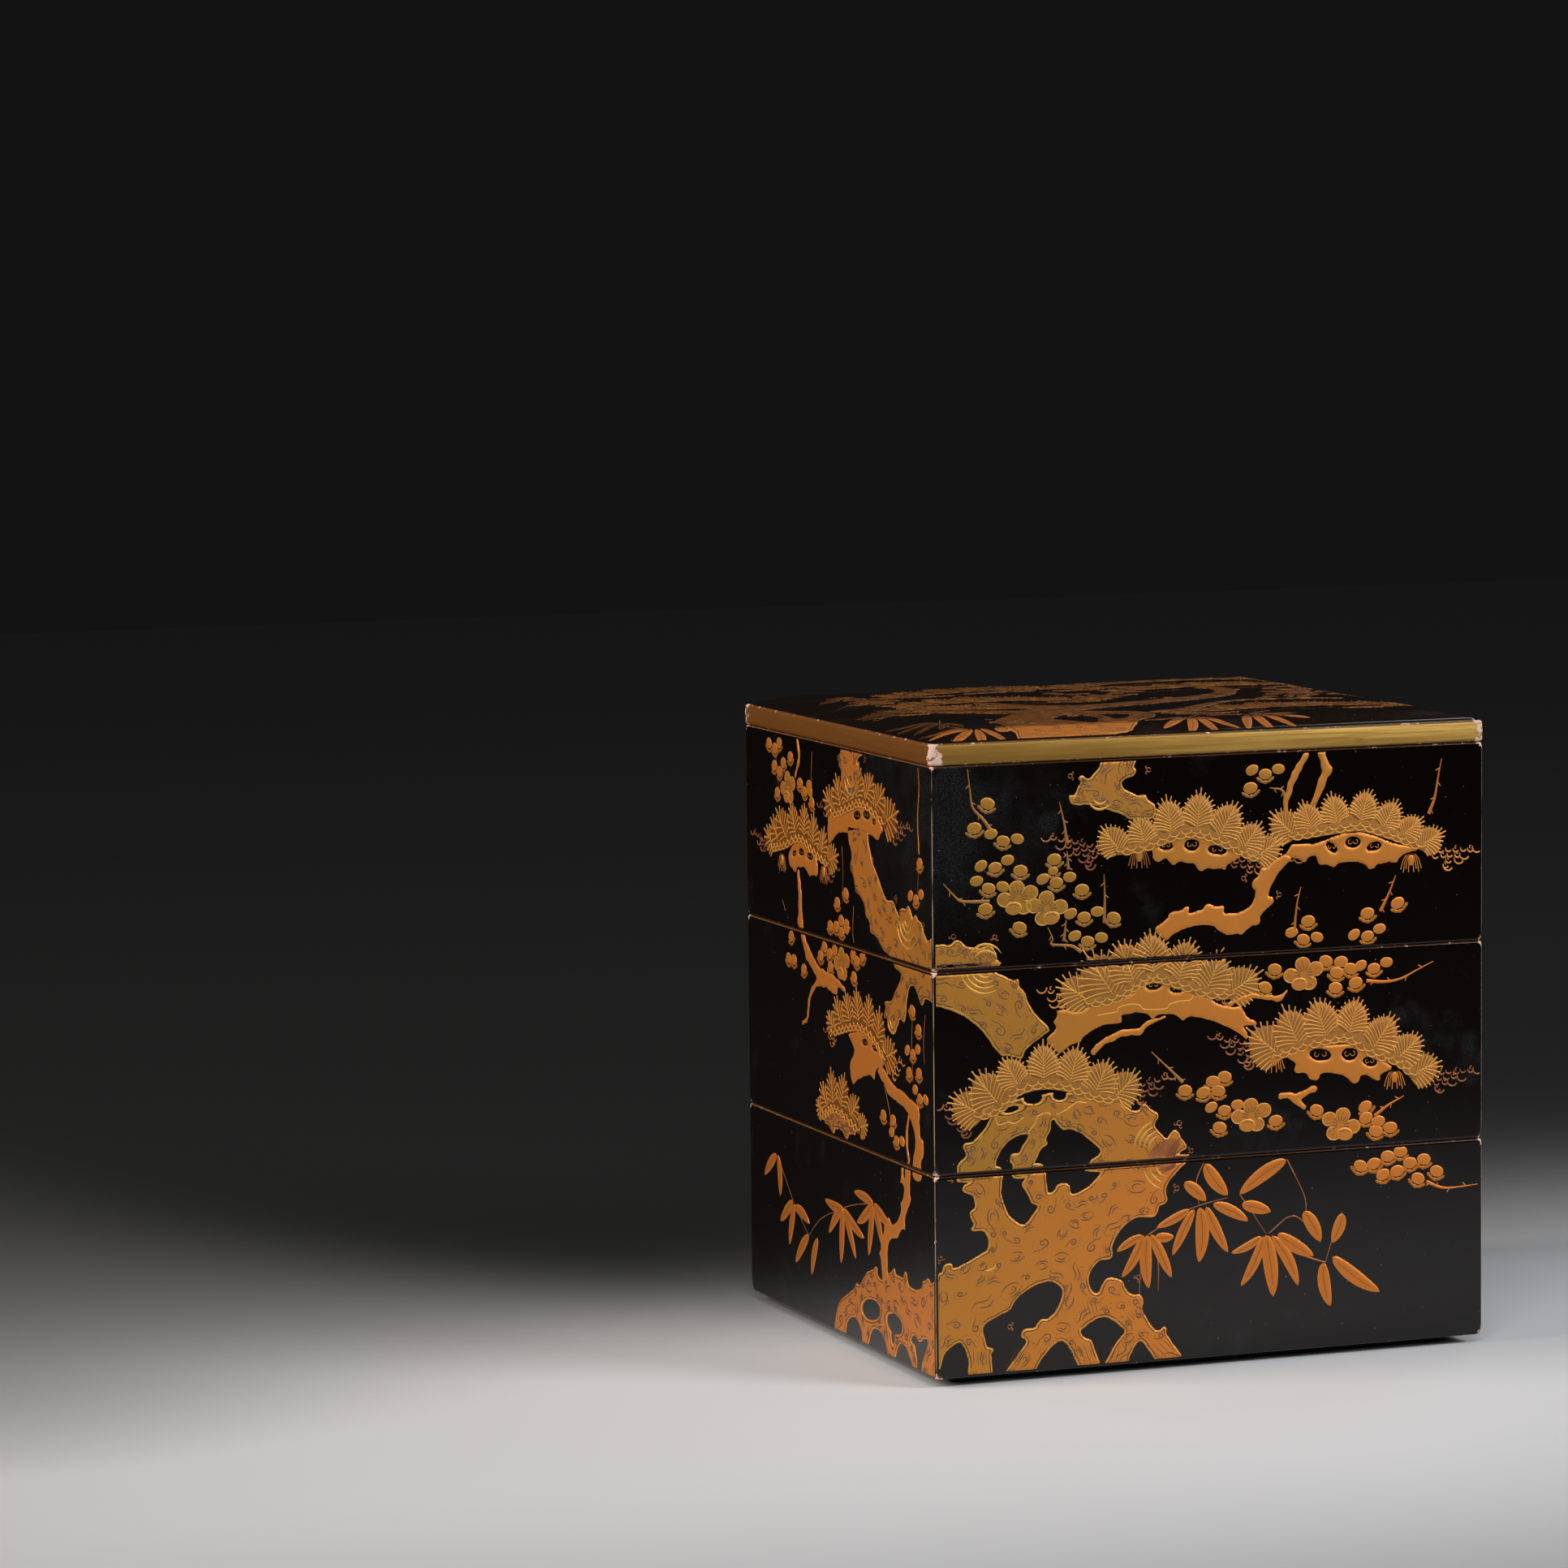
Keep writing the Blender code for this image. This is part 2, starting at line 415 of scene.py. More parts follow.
def picture_gold(name, shade=1.0, tan=0.0, front_shade=None):
    """Sprinkled gold of the relief. The paint attribute gives its warmth, its brightness and the distance
    from its outline, where a darker engraved line runs inside a pale rim. Shade darkens it towards dark
    brown: the web's own darker tone, and painted shade on the left face's web and on the lid. A front
    shade makes it a gold of the lid: rubbed in streaks on top, and with that shade on the front bevel,
    where the painted shade is lighter; the lid's left end and back are painted darker."""
    finish = Finish(name)
    paint = finish.node("ShaderNodeAttribute", {"attribute_name": "paint"}, {}, "Vector")
    warm, light, rim = finish.split(paint)
    cloud = finish.noise(0.05, 4.0, 0.6)
    grain = finish.noise(6.0, 2.0, 0.6, offset=4.0)
    heat = warm + (cloud - 0.5) * 0.35
    web = finish.mix(heat, COOL_WEB, WARM_WEB)
    if tan:
        web = finish.mix(tan, web, TAN)
    line = finish.mix(heat, COOL_LINE, WARM_LINE)
    base = finish.mix(light + (grain - 0.5) * 0.25, web, line)
    cut = rim.ramp(0.75, 0.95) * rim.ramp(1.35, 1.15)
    broken = finish.noise(0.12, 2.0, 0.5, offset=8.0).ramp(0.36, 0.46)
    base = finish.mix(cut * broken * 0.85, base, ENGRAVED)
    rubbed = finish.noise(0.25, 4.0, 0.65, offset=6.0).ramp(0.62, 0.72)
    base = finish.mix(rubbed * 0.25, base, GOLD_RUBBED)
    # The lid's painted shade: the flat top darker than the front bevel, and darker still at the left end and
    # towards the back
    if front_shade is not None:
        x, y, _ = finish.split(finish.place())
        bevel = y.ramp(-84.0, -89.0)
        streak = finish.noise(1.1, 4.0, 0.7, stretch=(0.12, 1.0, 1.0), offset=15.0).ramp(0.46, 0.54)
        dark = (1 - shade) * (1 - bevel) + (1 - front_shade) * bevel + streak * (0.42 - bevel * 0.2)
        dark = dark + x.ramp(-84.0, -100.0) * (1 - bevel) * 0.25 + y.ramp(55.0, 90.0) * 0.12
        base = finish.mix(dark.least(0.96), base, GOLD_DARK)
    elif shade != 1.0:
        base = finish.mix(1 - shade, base, GOLD_DARK)
    finish.feed("Base Color", base)
    finish.shader.inputs["Specular IOR Level"].default_value = 0.35 * shade
    finish.feed("Metallic", (0.55 - rubbed * 0.2) * shade)
    finish.feed("Roughness", 0.36 + grain * 0.16 + rubbed * 0.1)
    finish.bump(grain * 0.05 + cloud * 0.1 - cut * 0.08)
    return finish.material


def picture_line(name):
    """Dark brown engraved lines in the gold."""
    finish = Finish(name)
    fade = finish.noise(0.4, 3.0, 0.6)
    finish.feed("Base Color", finish.mix(fade, ENGRAVED, ENGRAVED_PALE))
    finish.feed("Roughness", 0.45 + fade * 0.2)
    return finish.material


def picture_russet(name):
    """Thin red-brown gold of lichen and twigs, half worn into the lacquer."""
    finish = Finish(name)
    fade = finish.noise(0.08, 4.0, 0.6)
    base = finish.mix(fade.ramp(0.35, 0.7), RUSSET_DARK, RUSSET_PALE)
    finish.feed("Base Color", base)
    finish.feed("Metallic", 0.25 + fade * 0.3)
    finish.feed("Roughness", 0.3 + fade * 0.2)
    return finish.material


# Lacquer shells


def rounded_rectangle(half_w, half_d, radius, steps=6):
    """Points round a rectangle with rounded corners, anticlockwise from above: quarter circles of the
    radius, with a support point just inside each end of the straight sides."""
    turn = np.linspace(0, math.pi / 2, steps)
    corner = ellipse(turn) * radius
    support = 0.35
    ring = []
    for quarter, (sx, sy) in enumerate(((1, 1), (-1, 1), (-1, -1), (1, -1))):
        angle = quarter * math.pi / 2
        quarter_turn = spin(quarter * 90)
        centre = np.array([sx * (half_w - radius), sy * (half_d - radius)])
        arc = corner @ quarter_turn + centre
        before = arc[0] - np.array([-math.sin(angle), math.cos(angle)]) * support
        after = arc[-1] + np.array([-math.cos(angle), -math.sin(angle)]) * support
        ring.append(np.vstack([before, arc, after]))
    return np.vstack(ring)


def shell(name, profile, half_w, half_d, materials):
    """A closed shell: each profile row (inset, height, corner radius, material slot) is a rounded
    rectangle, the rows are joined in order, and the first and last are filled flat."""
    rings = [rounded_rectangle(half_w - inset, half_d - inset, radius) for inset, _, radius, _ in profile]
    cols = len(rings[0])
    points = np.concatenate([np.column_stack([r, np.full(cols, row[1])]) for r, row in zip(rings, profile)])
    quads = grid_faces(len(profile), cols, closed=True)[:, ::-1]
    slots = np.repeat([row[3] for row in profile[1:]], cols)
    first_ring = list(range(cols))[::-1]
    last_ring = list(range(cols * (len(profile) - 1), cols * len(profile)))
    faces = quads.tolist() + [first_ring, last_ring]
    slots = np.concatenate([slots, [profile[0][3], profile[-1][3]]])
    obj = mesh_object(name, points * MM, faces, materials, slots)
    bm = bmesh.new()
    bm.from_mesh(obj.data)
    bmesh.ops.recalc_face_normals(bm, faces=bm.faces)
    bm.to_mesh(obj.data)
    bm.free()
    return obj


def arc_rows(inset, height, radius, start, stop, corner, slot, steps=5):
    """Profile rows round a quarter circle about (inset, height), from the start to the stop angle in
    degrees; 0 points outwards and 90 points up."""
    turn = np.radians(np.linspace(start, stop, steps))
    return [(inset - radius * math.cos(t), height + radius * math.sin(t), corner, slot) for t in turn]


def tier_profile(base, top):
    """Rows from the middle of the underside, round the step, up the wall, over the rim and down to the
    inner floor. The plan corner grows wider towards the lower edge, where it is worn round."""
    wall, inner, under = 0, 1, 2
    seat = base + STEP
    rows = [(FILL_INSET, base, 2.0, under), (STEP_INSET + 0.8, base, 2.0, under)]
    rows += arc_rows(STEP_INSET + 0.5, base + 0.5, 0.5, -90, 0, 2.0, under)
    rows += [(STEP_INSET, seat, 2.0, under), (EDGE + 0.3, seat, 2.6, wall)]
    rows += [(i, z, 2.6, wall) for i, z, _, _ in arc_rows(EDGE, seat + EDGE, EDGE, -90, 0, 0, 0)]
    rows += [(0.0, seat + EDGE + h, 0.7 + 1.9 * math.exp(-h / 1.4), wall) for h in (0.5, 1.0, 1.8, 3.0, 5.0)]
    rows += [(0.0, seat + 8.0, EDGE, wall), (0.0, top - 8.0, EDGE, wall)]
    rows += [(0.0, top - EDGE - h, 0.7 + 0.7 * math.exp(-h / 0.9), wall) for h in (2.4, 1.2, 0.4)]
    rows += [(i, z, 1.4, wall) for i, z, _, _ in arc_rows(EDGE, top - EDGE, EDGE, 0, 90, 0, 0)]
    rows += [(EDGE + 0.3, top, 1.4, inner), (WALL - 0.9, top, 3.2, inner)]
    lip = 0.6
    over = arc_rows(WALL - lip, top - lip, lip, 90, 0, 0, 0)
    rows += [(2 * (WALL - lip) - i, z, 3.6, inner) for i, z, _, _ in over]
    floor = base + FLOOR
    rows += [(WALL, top - 1.2, 4.0, inner), (WALL, floor + 4.4, 4.0, inner)]
    rows += arc_rows(WALL + 4.0, floor + 4.0, 4.0, 0, -90, 4.0, inner)
    rows += [(WALL + 4.6, floor, 4.0, inner), (FILL_INSET, floor, 4.0, inner)]
    return rows


def lid_profile():
    """Rows from the recess under the board, round the step and the seat, up the rounded band and over the
    bevel."""
    band, inner, under, top = 0, 1, 2, 3
    low, high = LID_LOW[2], LID_HIGH[2]
    step_inset = STEP_INSET + 0.5
    recess = step_inset + LID_STEP_WALL
    board = high - LID_BOARD
    rim = SEAT + BAND
    rows = [(FILL_INSET, board, 2.0, inner), (recess + 0.6, board, 2.0, inner)]
    rows += [(recess, board - 0.6, 2.0, inner), (recess, low + 0.5, 2.0, inner)]
    rows += [(recess - 0.5, low, 2.0, under), (step_inset + 0.5, low, 2.0, under)]
    rows += [(step_inset, low + 0.5, 2.0, under), (step_inset, SEAT, 2.0, under), (1.6, SEAT, 1.6, inner)]
    soft = 1.2
    rows += [(soft, SEAT + 0.004, 1.9, band)]
    rows += arc_rows(soft + 0.12, SEAT + soft, soft, -80, 0, 1.9, band)
    rows += [(0.02, SEAT + 0.4 * BAND, 1.9, band), (0.02, SEAT + 0.6 * BAND, 1.9, band)]
    rows += arc_rows(soft + 0.12, rim - soft, soft, 0, 80, 1.9, band)
    rows += [(1.5, rim + 0.05, 1.9, top), (1.9, rim + 0.1, 1.9, top)]
    rise = high - rim
    rows += [(LID_BEVEL * e, rim + rise * bevel_rise(e), 2.0, top) for e in np.linspace(0.15, 1.3, 12)]
    rows += [(FILL_INSET, high, 2.0, top)]
    return rows


def bevel_rise(e):
    """Share of the lid's rise at e bevel widths in from the edge: straight, then easing into the flat
    top."""
    soft = 0.18
    return np.where(e < 1 - soft, e, np.where(e > 1 + soft, 1.0, e - (e - 1 + soft) ** 2 / (4 * soft)))


# Faces of the box, as planes that the picture is laid on


def flat_face(across, out, reach):
    """Returns a function that lays (across, up, proud) millimetres on an upright face. Heights start at the
    walls' lower edge."""
    across, out = np.array(across, float), np.array(out, float)

    def lay(points):
        place = points[:, :1] * across + points[:, 2:3] * out + out * reach
        place[:, 2] = points[:, 1] + STEP
        return place

    return lay


def lid_face(points):
    """Lays (right, back, proud) millimetres on the lid's bevel and flat top."""
    edge = np.minimum(LID_WIDTH / 2 - abs(points[:, 0]), LID_DEPTH / 2 - abs(points[:, 1]))
    rise = bevel_rise(np.clip(edge / LID_BEVEL, 0.0, 2.0))
    height = SEAT + BAND + (LID_HIGH[2] - SEAT - BAND) * rise + points[:, 2]
    return np.column_stack([points[:, 0], points[:, 1], height])


FACES = {
    "front": flat_face((1, 0, 0), (0, -1, 0), DEPTH / 2),
    "left": flat_face((0, -1, 0), (-1, 0, 0), WIDTH / 2),
    "back": flat_face((-1, 0, 0), (0, 1, 0), DEPTH / 2),
    "right": flat_face((0, 1, 0), (1, 0, 0), WIDTH / 2),
    "lid": lid_face,
}

# The picture's strokes

# Material slots of a picture
GOLD, LINE, THIN, WEB = 0, 1, 2, 3

# Height of a bark figure in millimetres, and a painted distance beyond the engraved rim
BARK = 0.3
NO_RIM = 9.0

# The section of a stroke: places across it, in half widths, and its height there, in heights of the stroke
ACROSS = np.array([-1.0, -0.72, 0.0, 0.72, 1.0])
SWELL = np.array([0.0, 0.85, 1.0, 0.85, 0.0])


def polygon_distance(outline, x, y):
    """Signed distance of places from a closed outline, negative inside: the least distance to its sides,
    with a sign from the number of sides to the right of the place."""
    ends = np.roll(outline, -1, axis=0)
    nearest = np.full(x.shape, 1e9)
    inside = np.zeros(x.shape, bool)
    for (x0, y0), (x1, y1) in zip(outline, ends):
        length = max((x1 - x0) ** 2 + (y1 - y0) ** 2, 1e-9)
        t = np.clip(((x - x0) * (x1 - x0) + (y - y0) * (y1 - y0)) / length, 0, 1)
        nearest = np.minimum(nearest, np.hypot(x - x0 - t * (x1 - x0), y - y0 - t * (y1 - y0)))
        if y0 != y1:
            crosses = ((y0 > y) != (y1 > y)) & (x < (x1 - x0) * (y - y0) / (y1 - y0) + x0)
            inside ^= crosses
    return np.where(inside, -nearest, nearest)


class Picture:
    """The gold picture of one face, gathered as patches of points (across, up, proud) in millimetres."""

    def __init__(self, seed, relief=1.0, bold=1.0):
        self.patches = []
        self.rng = np.random.default_rng(seed)
        self.relief = relief
        self.bold = bold

    def patch(self, points, faces, warm, light, rim=NO_RIM, slot=GOLD):
        """Add points and arrays of faces, with their warmth, brightness and distance from the outline."""
        paint = np.empty((len(points), 3))
        paint[:, 0] = warm
        paint[:, 1] = light
        paint[:, 2] = rim
        self.patches.append((points, paint, faces, slot))

    def stroke(self, path, proud, warm, light, slot=GOLD, count=None, lift=0.0):
        """A brush stroke: a low rounded ridge carried along a path of (across, up, half width)."""
        path = smooth(path, count or 4 * len(path))
        run = np.gradient(path[:, :2], axis=0)
        run /= np.linalg.norm(run, axis=1)[:, None] + 1e-9
        side = np.column_stack([-run[:, 1], run[:, 0]])
        width = np.maximum(path[:, 2], 0.02)
        grid = np.empty((len(path), len(ACROSS), 3))
        grid[..., :2] = path[:, None, :2] + side[:, None, :] * (width[:, None] * ACROSS)[..., None]
        grid[..., 2] = SINK + lift + proud * SWELL * np.clip(width[:, None] / 0.3, 0.3, 1.0)
        self.patch(grid.reshape(-1, 3), [grid_faces(*grid.shape[:2])], warm, light, slot=slot)

    def petal(self, centre, size, turn, proud, warm, light, slot=GOLD, lift=0.0, count=24):
        """A domed round: rings of an ellipse of half axes size, turned by degrees, with a paler edge."""
        angle = np.linspace(0, 2 * math.pi, count, endpoint=False)
        ring = np.array([0.5, 0.8, 0.94, 1.0])
        bulge = np.array([0.97, 0.84, 0.58, 0.0])
        x, y = np.cos(angle) * size[0], np.sin(angle) * size[1]
        t = math.radians(turn)
        outline = np.stack([x * math.cos(t) - y * math.sin(t), x * math.sin(t) + y * math.cos(t)], -1)
        grid = np.empty((len(ring), count, 3))
        grid[..., :2] = np.asarray(centre) + ring[:, None, None] * outline
        grid[..., 2] = (SINK + lift + proud * bulge)[:, None]
        points = np.vstack([grid.reshape(-1, 3), [[centre[0], centre[1], SINK + lift + proud]]])
        bright = np.append(np.repeat(light + 0.35 * (ring > 0.9), count), light)
        hub = np.arange(count)
        wheel = np.stack([hub, np.roll(hub, -1), np.full(count, len(points) - 1)], -1)
        self.patch(points, [grid_faces(len(ring), count, closed=True), wheel], warm, bright, slot=slot)

    def leaf(self, base, tip, width, warm, bend=0.0):
        """A bamboo leaf: a lens shape from base to tip, widest past its middle, with a pale edge and a dark
        rib."""
        base, tip = np.array(base, float), np.array(tip, float)
        run = tip - base
        length = np.linalg.norm(run)
        run /= length
        side = np.array([-run[1], run[0]])
        t = np.linspace(0.0, 1.0, 22)
        half = 0.66 * width * np.clip(np.sin(math.pi * t**0.85), 0, 1) ** 0.55
        spine = base + run * (t * length)[:, None] + side * (bend * length * t * (1 - t))[:, None]
        across = np.array([-1.0, -0.86, -0.5, 0.0, 0.5, 0.86, 1.0])
        swell = np.array([0.0, 0.75, 0.9, 1.0, 0.9, 0.75, 0.0])
        grid = np.empty((len(t), len(across), 3))
        grid[..., :2] = spine[:, None, :] + side * (np.maximum(half, 0.05)[:, None] * across)[..., None]
        grid[..., 2] = SINK + 0.22 * swell
        bright = 0.15 + 0.2 * (abs(across) > 0.8) + np.zeros((len(t), 1))
        self.patch(grid.reshape(-1, 3), [grid_faces(*grid.shape[:2])], warm, bright.ravel())
        rib = np.column_stack([spine, np.full(len(t), 0.14)])[2:-3:3]
        self.stroke(rib, 0.06, 0, 0, LINE, lift=0.21)

    def fan(self, root, tip, warm, lift=0.0, needles=8):
        """A pine tuft from root to tip: a web of gold under needles that leave a middle rib herringbone
        fashion and end a little beyond the web."""
        root, tip = np.array(root, float), np.array(tip, float)
        along = tip - root
        reach = np.linalg.norm(along)
        angle = math.atan2(along[1], along[0])
        rib = along / reach
        spread = math.radians(70)
        share = np.linspace(-1.0, 1.0, 2 * needles + 1)
        out = reach * (1 - 0.55 * abs(share) ** 1.05) * (1 + 0.04 * self.rng.uniform(-1, 1, len(share)))
        bearing = angle + share * spread
        tips = root + out[:, None] * ellipse(bearing)
        fine = np.linspace(-1.0, 1.0, 12 * needles + 1)
        edge = reach * (1 - 0.55 * abs(fine) ** 1.05) * (0.88 + 0.03 * np.cos(fine * needles * 2 * math.pi))
        edge *= 1 - 0.5 * np.clip((abs(fine) - 0.9) / 0.1, 0, 1) ** 2
        turn = angle + fine * (spread + 0.06)
        ring = np.array([0.03, 0.35, 0.7, 0.96, 1.0])
        rim = ellipse(turn) * edge[:, None]
        grid = np.empty((len(ring), len(fine), 3))
        grid[..., :2] = root + ring[:, None, None] * rim
        grid[..., 2] = SINK + np.append(lift + np.array([0.10, 0.11, 0.12, 0.11]), 0.0)[:, None]
        self.patch(grid.reshape(-1, 3), [grid_faces(*grid.shape[:2])], warm, 0.0, slot=WEB)
        for s, end in zip(share, tips):
            start = root + rib * reach * (0.6 * (1 - abs(s)) * (abs(s) > 0.01) + 0.02)
            middle = (start + end) / 2 + rib * reach * 0.035 * abs(s)
            path = [(*start, 0.14 * self.bold), (*middle, 0.22 * self.bold), (*end, 0.29 * self.bold)]
            self.stroke(path, 0.12 * self.relief, warm, 1.0, count=6, lift=lift + 0.09)

    def scales(self, curve, warm):
        """Two rows of overlapping scales along a curve: pale arcs in brick order on a darker band."""
        size = 4.4
        length = np.linalg.norm(np.diff(curve, axis=0), axis=1).sum()
        taper = np.sin(np.linspace(0.3, math.pi - 0.3, len(curve))) ** 0.4
        self.stroke(np.column_stack([curve - (0.0, 1.2), 2.2 * taper]), 0.08, warm, 0.1, WEB, 40, lift=0.36)
        line = smooth(curve, 80)
        for row in range(2):
            count = int(length / size) + 1 - row
            along = (np.arange(count) + 0.5 + 0.5 * row) / (count + row)
            for i in np.clip((along * 79).astype(int), 1, 78):
                run = line[i + 1] - line[i - 1]
                run /= np.linalg.norm(run)
                down = np.array([run[1], -run[0]])
                centre = line[i] + down * (row * 1.5 - 0.1)
                bow = np.radians(np.linspace(0, 180, 7))
                edge = centre + np.cos(bow)[:, None] * run * size * 0.52 + np.sin(bow)[:, None] * down * 1.6
                arc = np.column_stack([edge, np.full(7, 0.24 * self.bold)])
                self.stroke(arc, 0.14, warm, 0.9, count=10, lift=0.4)

    def pad(self, fans, warm):
        """A cushion of pine: fans from root to tip, the middle ones over their neighbours, above rows of
        scales."""
        fans = np.array(fans, float)
        roots = fans[:, :2].copy()
        share = abs(np.linspace(-1, 1, len(fans)))[:, None] ** 2
        fans[:, :2] -= 0.32 * share * (fans[:, 2:] - roots)
        taper = np.sin(np.linspace(0.3, math.pi - 0.3, len(roots))) ** 0.5
        self.stroke(np.column_stack([roots + (0.0, 1.6), 3.6 * taper]), 0.1, warm, 0.3, WEB, 40)
        middle = (len(fans) - 1) / 2
        order = sorted(range(len(fans)), key=lambda k: -abs(k - middle))
        for k in order:
            lift = 0.1 * self.relief * (middle - abs(k - middle))
            heat = warm + self.rng.uniform(-0.08, 0.08)
            self.fan(fans[k, :2], fans[k, 2:], heat, lift, round(8 / self.bold))
        self.scales(roots - (0.0, 0.8), warm - 0.05)

    def bud(self, place, size=3.0, turn=0.0, warm=0.5):
        """A plum bud: a low pillow, with a narrow dark gap and a brown-gold calyx of three lobes below
        it."""
        place = np.array(place, float)
        tilt = math.radians(turn)
        slot = WEB if warm < 0.6 else GOLD
        bow = np.radians(np.linspace(198, 342, 9)) + tilt
        cup = place + ellipse(bow, size + 0.35, size * 0.77 + 0.95)
        width = np.array([0.1, 0.45, 0.75, 0.5, 0.85, 0.5, 0.75, 0.45, 0.1])
        self.stroke(np.column_stack([cup, width]), 0.12, warm * 0.6, 0.0, slot, count=20)
        for side in (-1, 1):
            bow = math.radians(270 + side * 58) + tilt
            lobe = place + np.array([math.cos(bow) * (size + 0.9), math.sin(bow) * (size * 0.8 + 1.0)])
            self.petal(lobe, (0.85, 0.5), turn + 60 * side, 0.12, warm * 0.6, 0.0, slot, count=10)
        self.petal(place, (size, size * 0.75), turn, 0.2, warm, 0.3)

    def spray(self, place, size=2.8, turn=0.0, warm=0.5):
        """A plum flower from the side: a cupped middle petal, two side petals and a comb of stamens between
        them."""
        place = np.array(place, float)
        turned = spin(turn)
        for x in np.linspace(-0.95, 0.95, 9):
            foot = place + np.array([x * 0.8, 0.55]) * size @ turned
            tip = place + np.array([x * 1.15, 1.15 + 0.35 * x * x]) * size @ turned
            self.stroke([(*foot, 0.12), (*tip, 0.15)], 0.1, warm, 0.0, WEB, count=3)
        for side in (-1, 1):
            petal = place + np.array([side * 1.95, 0.62]) * size @ turned
            lean = turn - side * 22 + (20 if side > 0 else 0)
            self.petal(petal, (size * 0.98, size * 0.72), lean, 0.22, warm, 0.3)
        self.bud(place, size, turn, warm)

    def blossom(self, place, side=1, size=3.4, turn=0.0, warm=0.4):
        """An open plum blossom seen a little from above: four round petals with pale rims and engraved
        veins about an engraved fan of stamens, and the near petal folded up over it on one side, with a
        curved crease."""
        place = np.array(place, float)
        pale = warm * 0.75
        self.petal(place + (0.0, 0.1 * size), (size * 1.2, size * 0.98), turn, 0.2, pale, 0.3)
        for bearing, far in ((238, 1.3), (-4, 1.55), (158, 1.6), (85, 1.25)):
            bearing = math.radians(turn + (bearing if side < 0 else 180 - bearing))
            out = np.array([math.cos(bearing), math.sin(bearing)])
            centre = place + out * size * far * (1.0, 0.9)
            self.petal(centre, (size * 0.95, size * 0.84), turn, 0.2, pale, 0.3, lift=0.02)
            bow = np.linspace(-1.9, 1.9, 11) + bearing
            rim = centre + ellipse(bow, size, size) * (0.88, 0.77)
            self.stroke(np.column_stack([rim, np.full(11, 0.22)]), 0.06, pale, 1.0, count=22, lift=0.2)
            for vein in (-0.4, 0.0, 0.4):
                path = np.array([math.cos(bearing + vein), math.sin(bearing + vein)]) * size
                start = place + path * (far - 0.05) * (1.0, 0.9)
                end = place + path * (far + 0.45) * (1.0, 0.9)
                self.stroke([(*start, 0.07), (*end, 0.1)], 0.03, 0, 0, LINE, count=3, lift=0.22)
        for bearing in np.radians(np.linspace(-35, 215, 11) + turn):
            out = np.array([math.cos(bearing), math.sin(bearing) * 0.88])
            foot, tip = place + out * size * 0.42, place + out * size * 1.12
            self.stroke([(*foot, 0.1), (*tip, 0.2)], 0.03, 0, 0, LINE, count=3, lift=0.22)
        low = place + np.array([0.5 * -side, -1.08]) * size
        self.petal(low, (size * 1.02, size * 0.74), turn, 0.2, pale + 0.1, 0.4, lift=0.16)
        bow = np.radians(np.linspace(25, 155, 7))
        crease = low + (ellipse(bow, 0.62, 0.34) + (0.0, 0.08)) * size
        self.stroke(np.column_stack([crease, np.full(7, 0.15)]), 0.05, 0, 0, LINE, count=14, lift=0.36)

    def twig(self, points, width=0.7, warm=0.35, slot=GOLD, spurs=4):
        """A plum twig: a tapering stroke with short spurs on alternate sides."""
        points = np.asarray(points, float)
        taper = width * np.linspace(0.25, 1.0, len(points))
        self.stroke(np.column_stack([points, taper]), 0.2, warm, 0.1, slot)
        line = smooth(points, 30)
        for k in range(spurs):
            i = min(int(29 * (k + 0.7) / spurs), 27)
            run = (line[i + 1] - line[i]) / (np.linalg.norm(line[i + 1] - line[i]) + 1e-9)
            side = np.array([-run[1], run[0]]) * (1 if k % 2 else -1)
            foot, tip = line[i], line[i] + side * width * 2.1 + run * width * 1.6
            self.stroke([(*foot, width * 0.42), (*tip, width * 0.25)], 0.16, warm, 0.2, slot, count=4)

    def hook(self, place, radius, start, stop, width=0.32, slot=THIN, warm=0.5, light=0.3):
        """A short curl: an arc with a round end."""
        bow = np.radians(np.linspace(start, stop, 6))
        arc = np.array(place) + ellipse(bow) * radius
        taper = np.linspace(width * 0.7, width, 6)
        self.stroke(np.column_stack([arc, taper]), 0.12, warm, light, slot, count=12)

    def lichen(self, outer, inner, rows, slot=THIN, warm=0.5):
        """Hanging lichen from an outer place to an inner one: brick rows of small hooks that draw in
        downwards from the outer end, with longer curls at that end of every row."""
        outer, inner = np.array(outer, float), np.array(inner, float)
        side = np.sign(outer[0] - inner[0])
        for row in range(rows):
            end = inner + (outer - inner) * (1 - 0.75 * row / rows)
            start = inner + (outer - inner) * 0.12 * row
            count = max(2, int(abs(end[0] - start[0]) / 2.9))
            for k in range(count):
                share = (k + 0.5 * (row % 2)) / count
                spot = end + (start - end) * share + self.rng.uniform(-0.3, 0.3, 2) - (0.0, row * 2.0)
                size = 1.25 if k else 2.1
                self.hook(spot, size, 180 - 15 * side, 345 - 15 * side, 0.38, slot, warm, 0.5)
                if k % 2:
                    self.hook(spot + (0.1, 0.7), 0.55, 60, 260, 0.24, slot, warm, 0.5)

    def tassel(self, place, warm=0.6, slot=THIN):
        """A pine bud with needles hanging round it."""
        place = np.array(place, float)
        for k, x in enumerate(np.linspace(-1, 1, 9)):
            if abs(x) < 0.1:
                continue
            top = place + (x * 1.6, 2.6)
            mid = place + (x * 3.2, 0.4)
            end = place + (x * 4.4, -3.4 - 1.2 * (k % 2))
            self.stroke([(*top, 0.15), (*mid, 0.2), (*end, 0.24)], 0.1, warm, 0.4, slot)
        self.petal(place, (1.35, 2.1), 0, 0.36, warm, 0.3)

    def curl(self, place, size=1.3, turn=0.0):
        """A moss curl at the bark's edge: a small ring and two hooks."""
        place = np.array(place, float)
        size *= 0.7
        self.hook(place, size, turn, turn + 330, 0.24, light=0.6)
        for side in (-1, 1):
            bearing = math.radians(turn + 180 + side * 50)
            spot = place + np.array([math.cos(bearing), math.sin(bearing)]) * size * 1.7
            self.hook(spot, size * 0.5, turn + 40, turn + 300, 0.2, light=0.6)

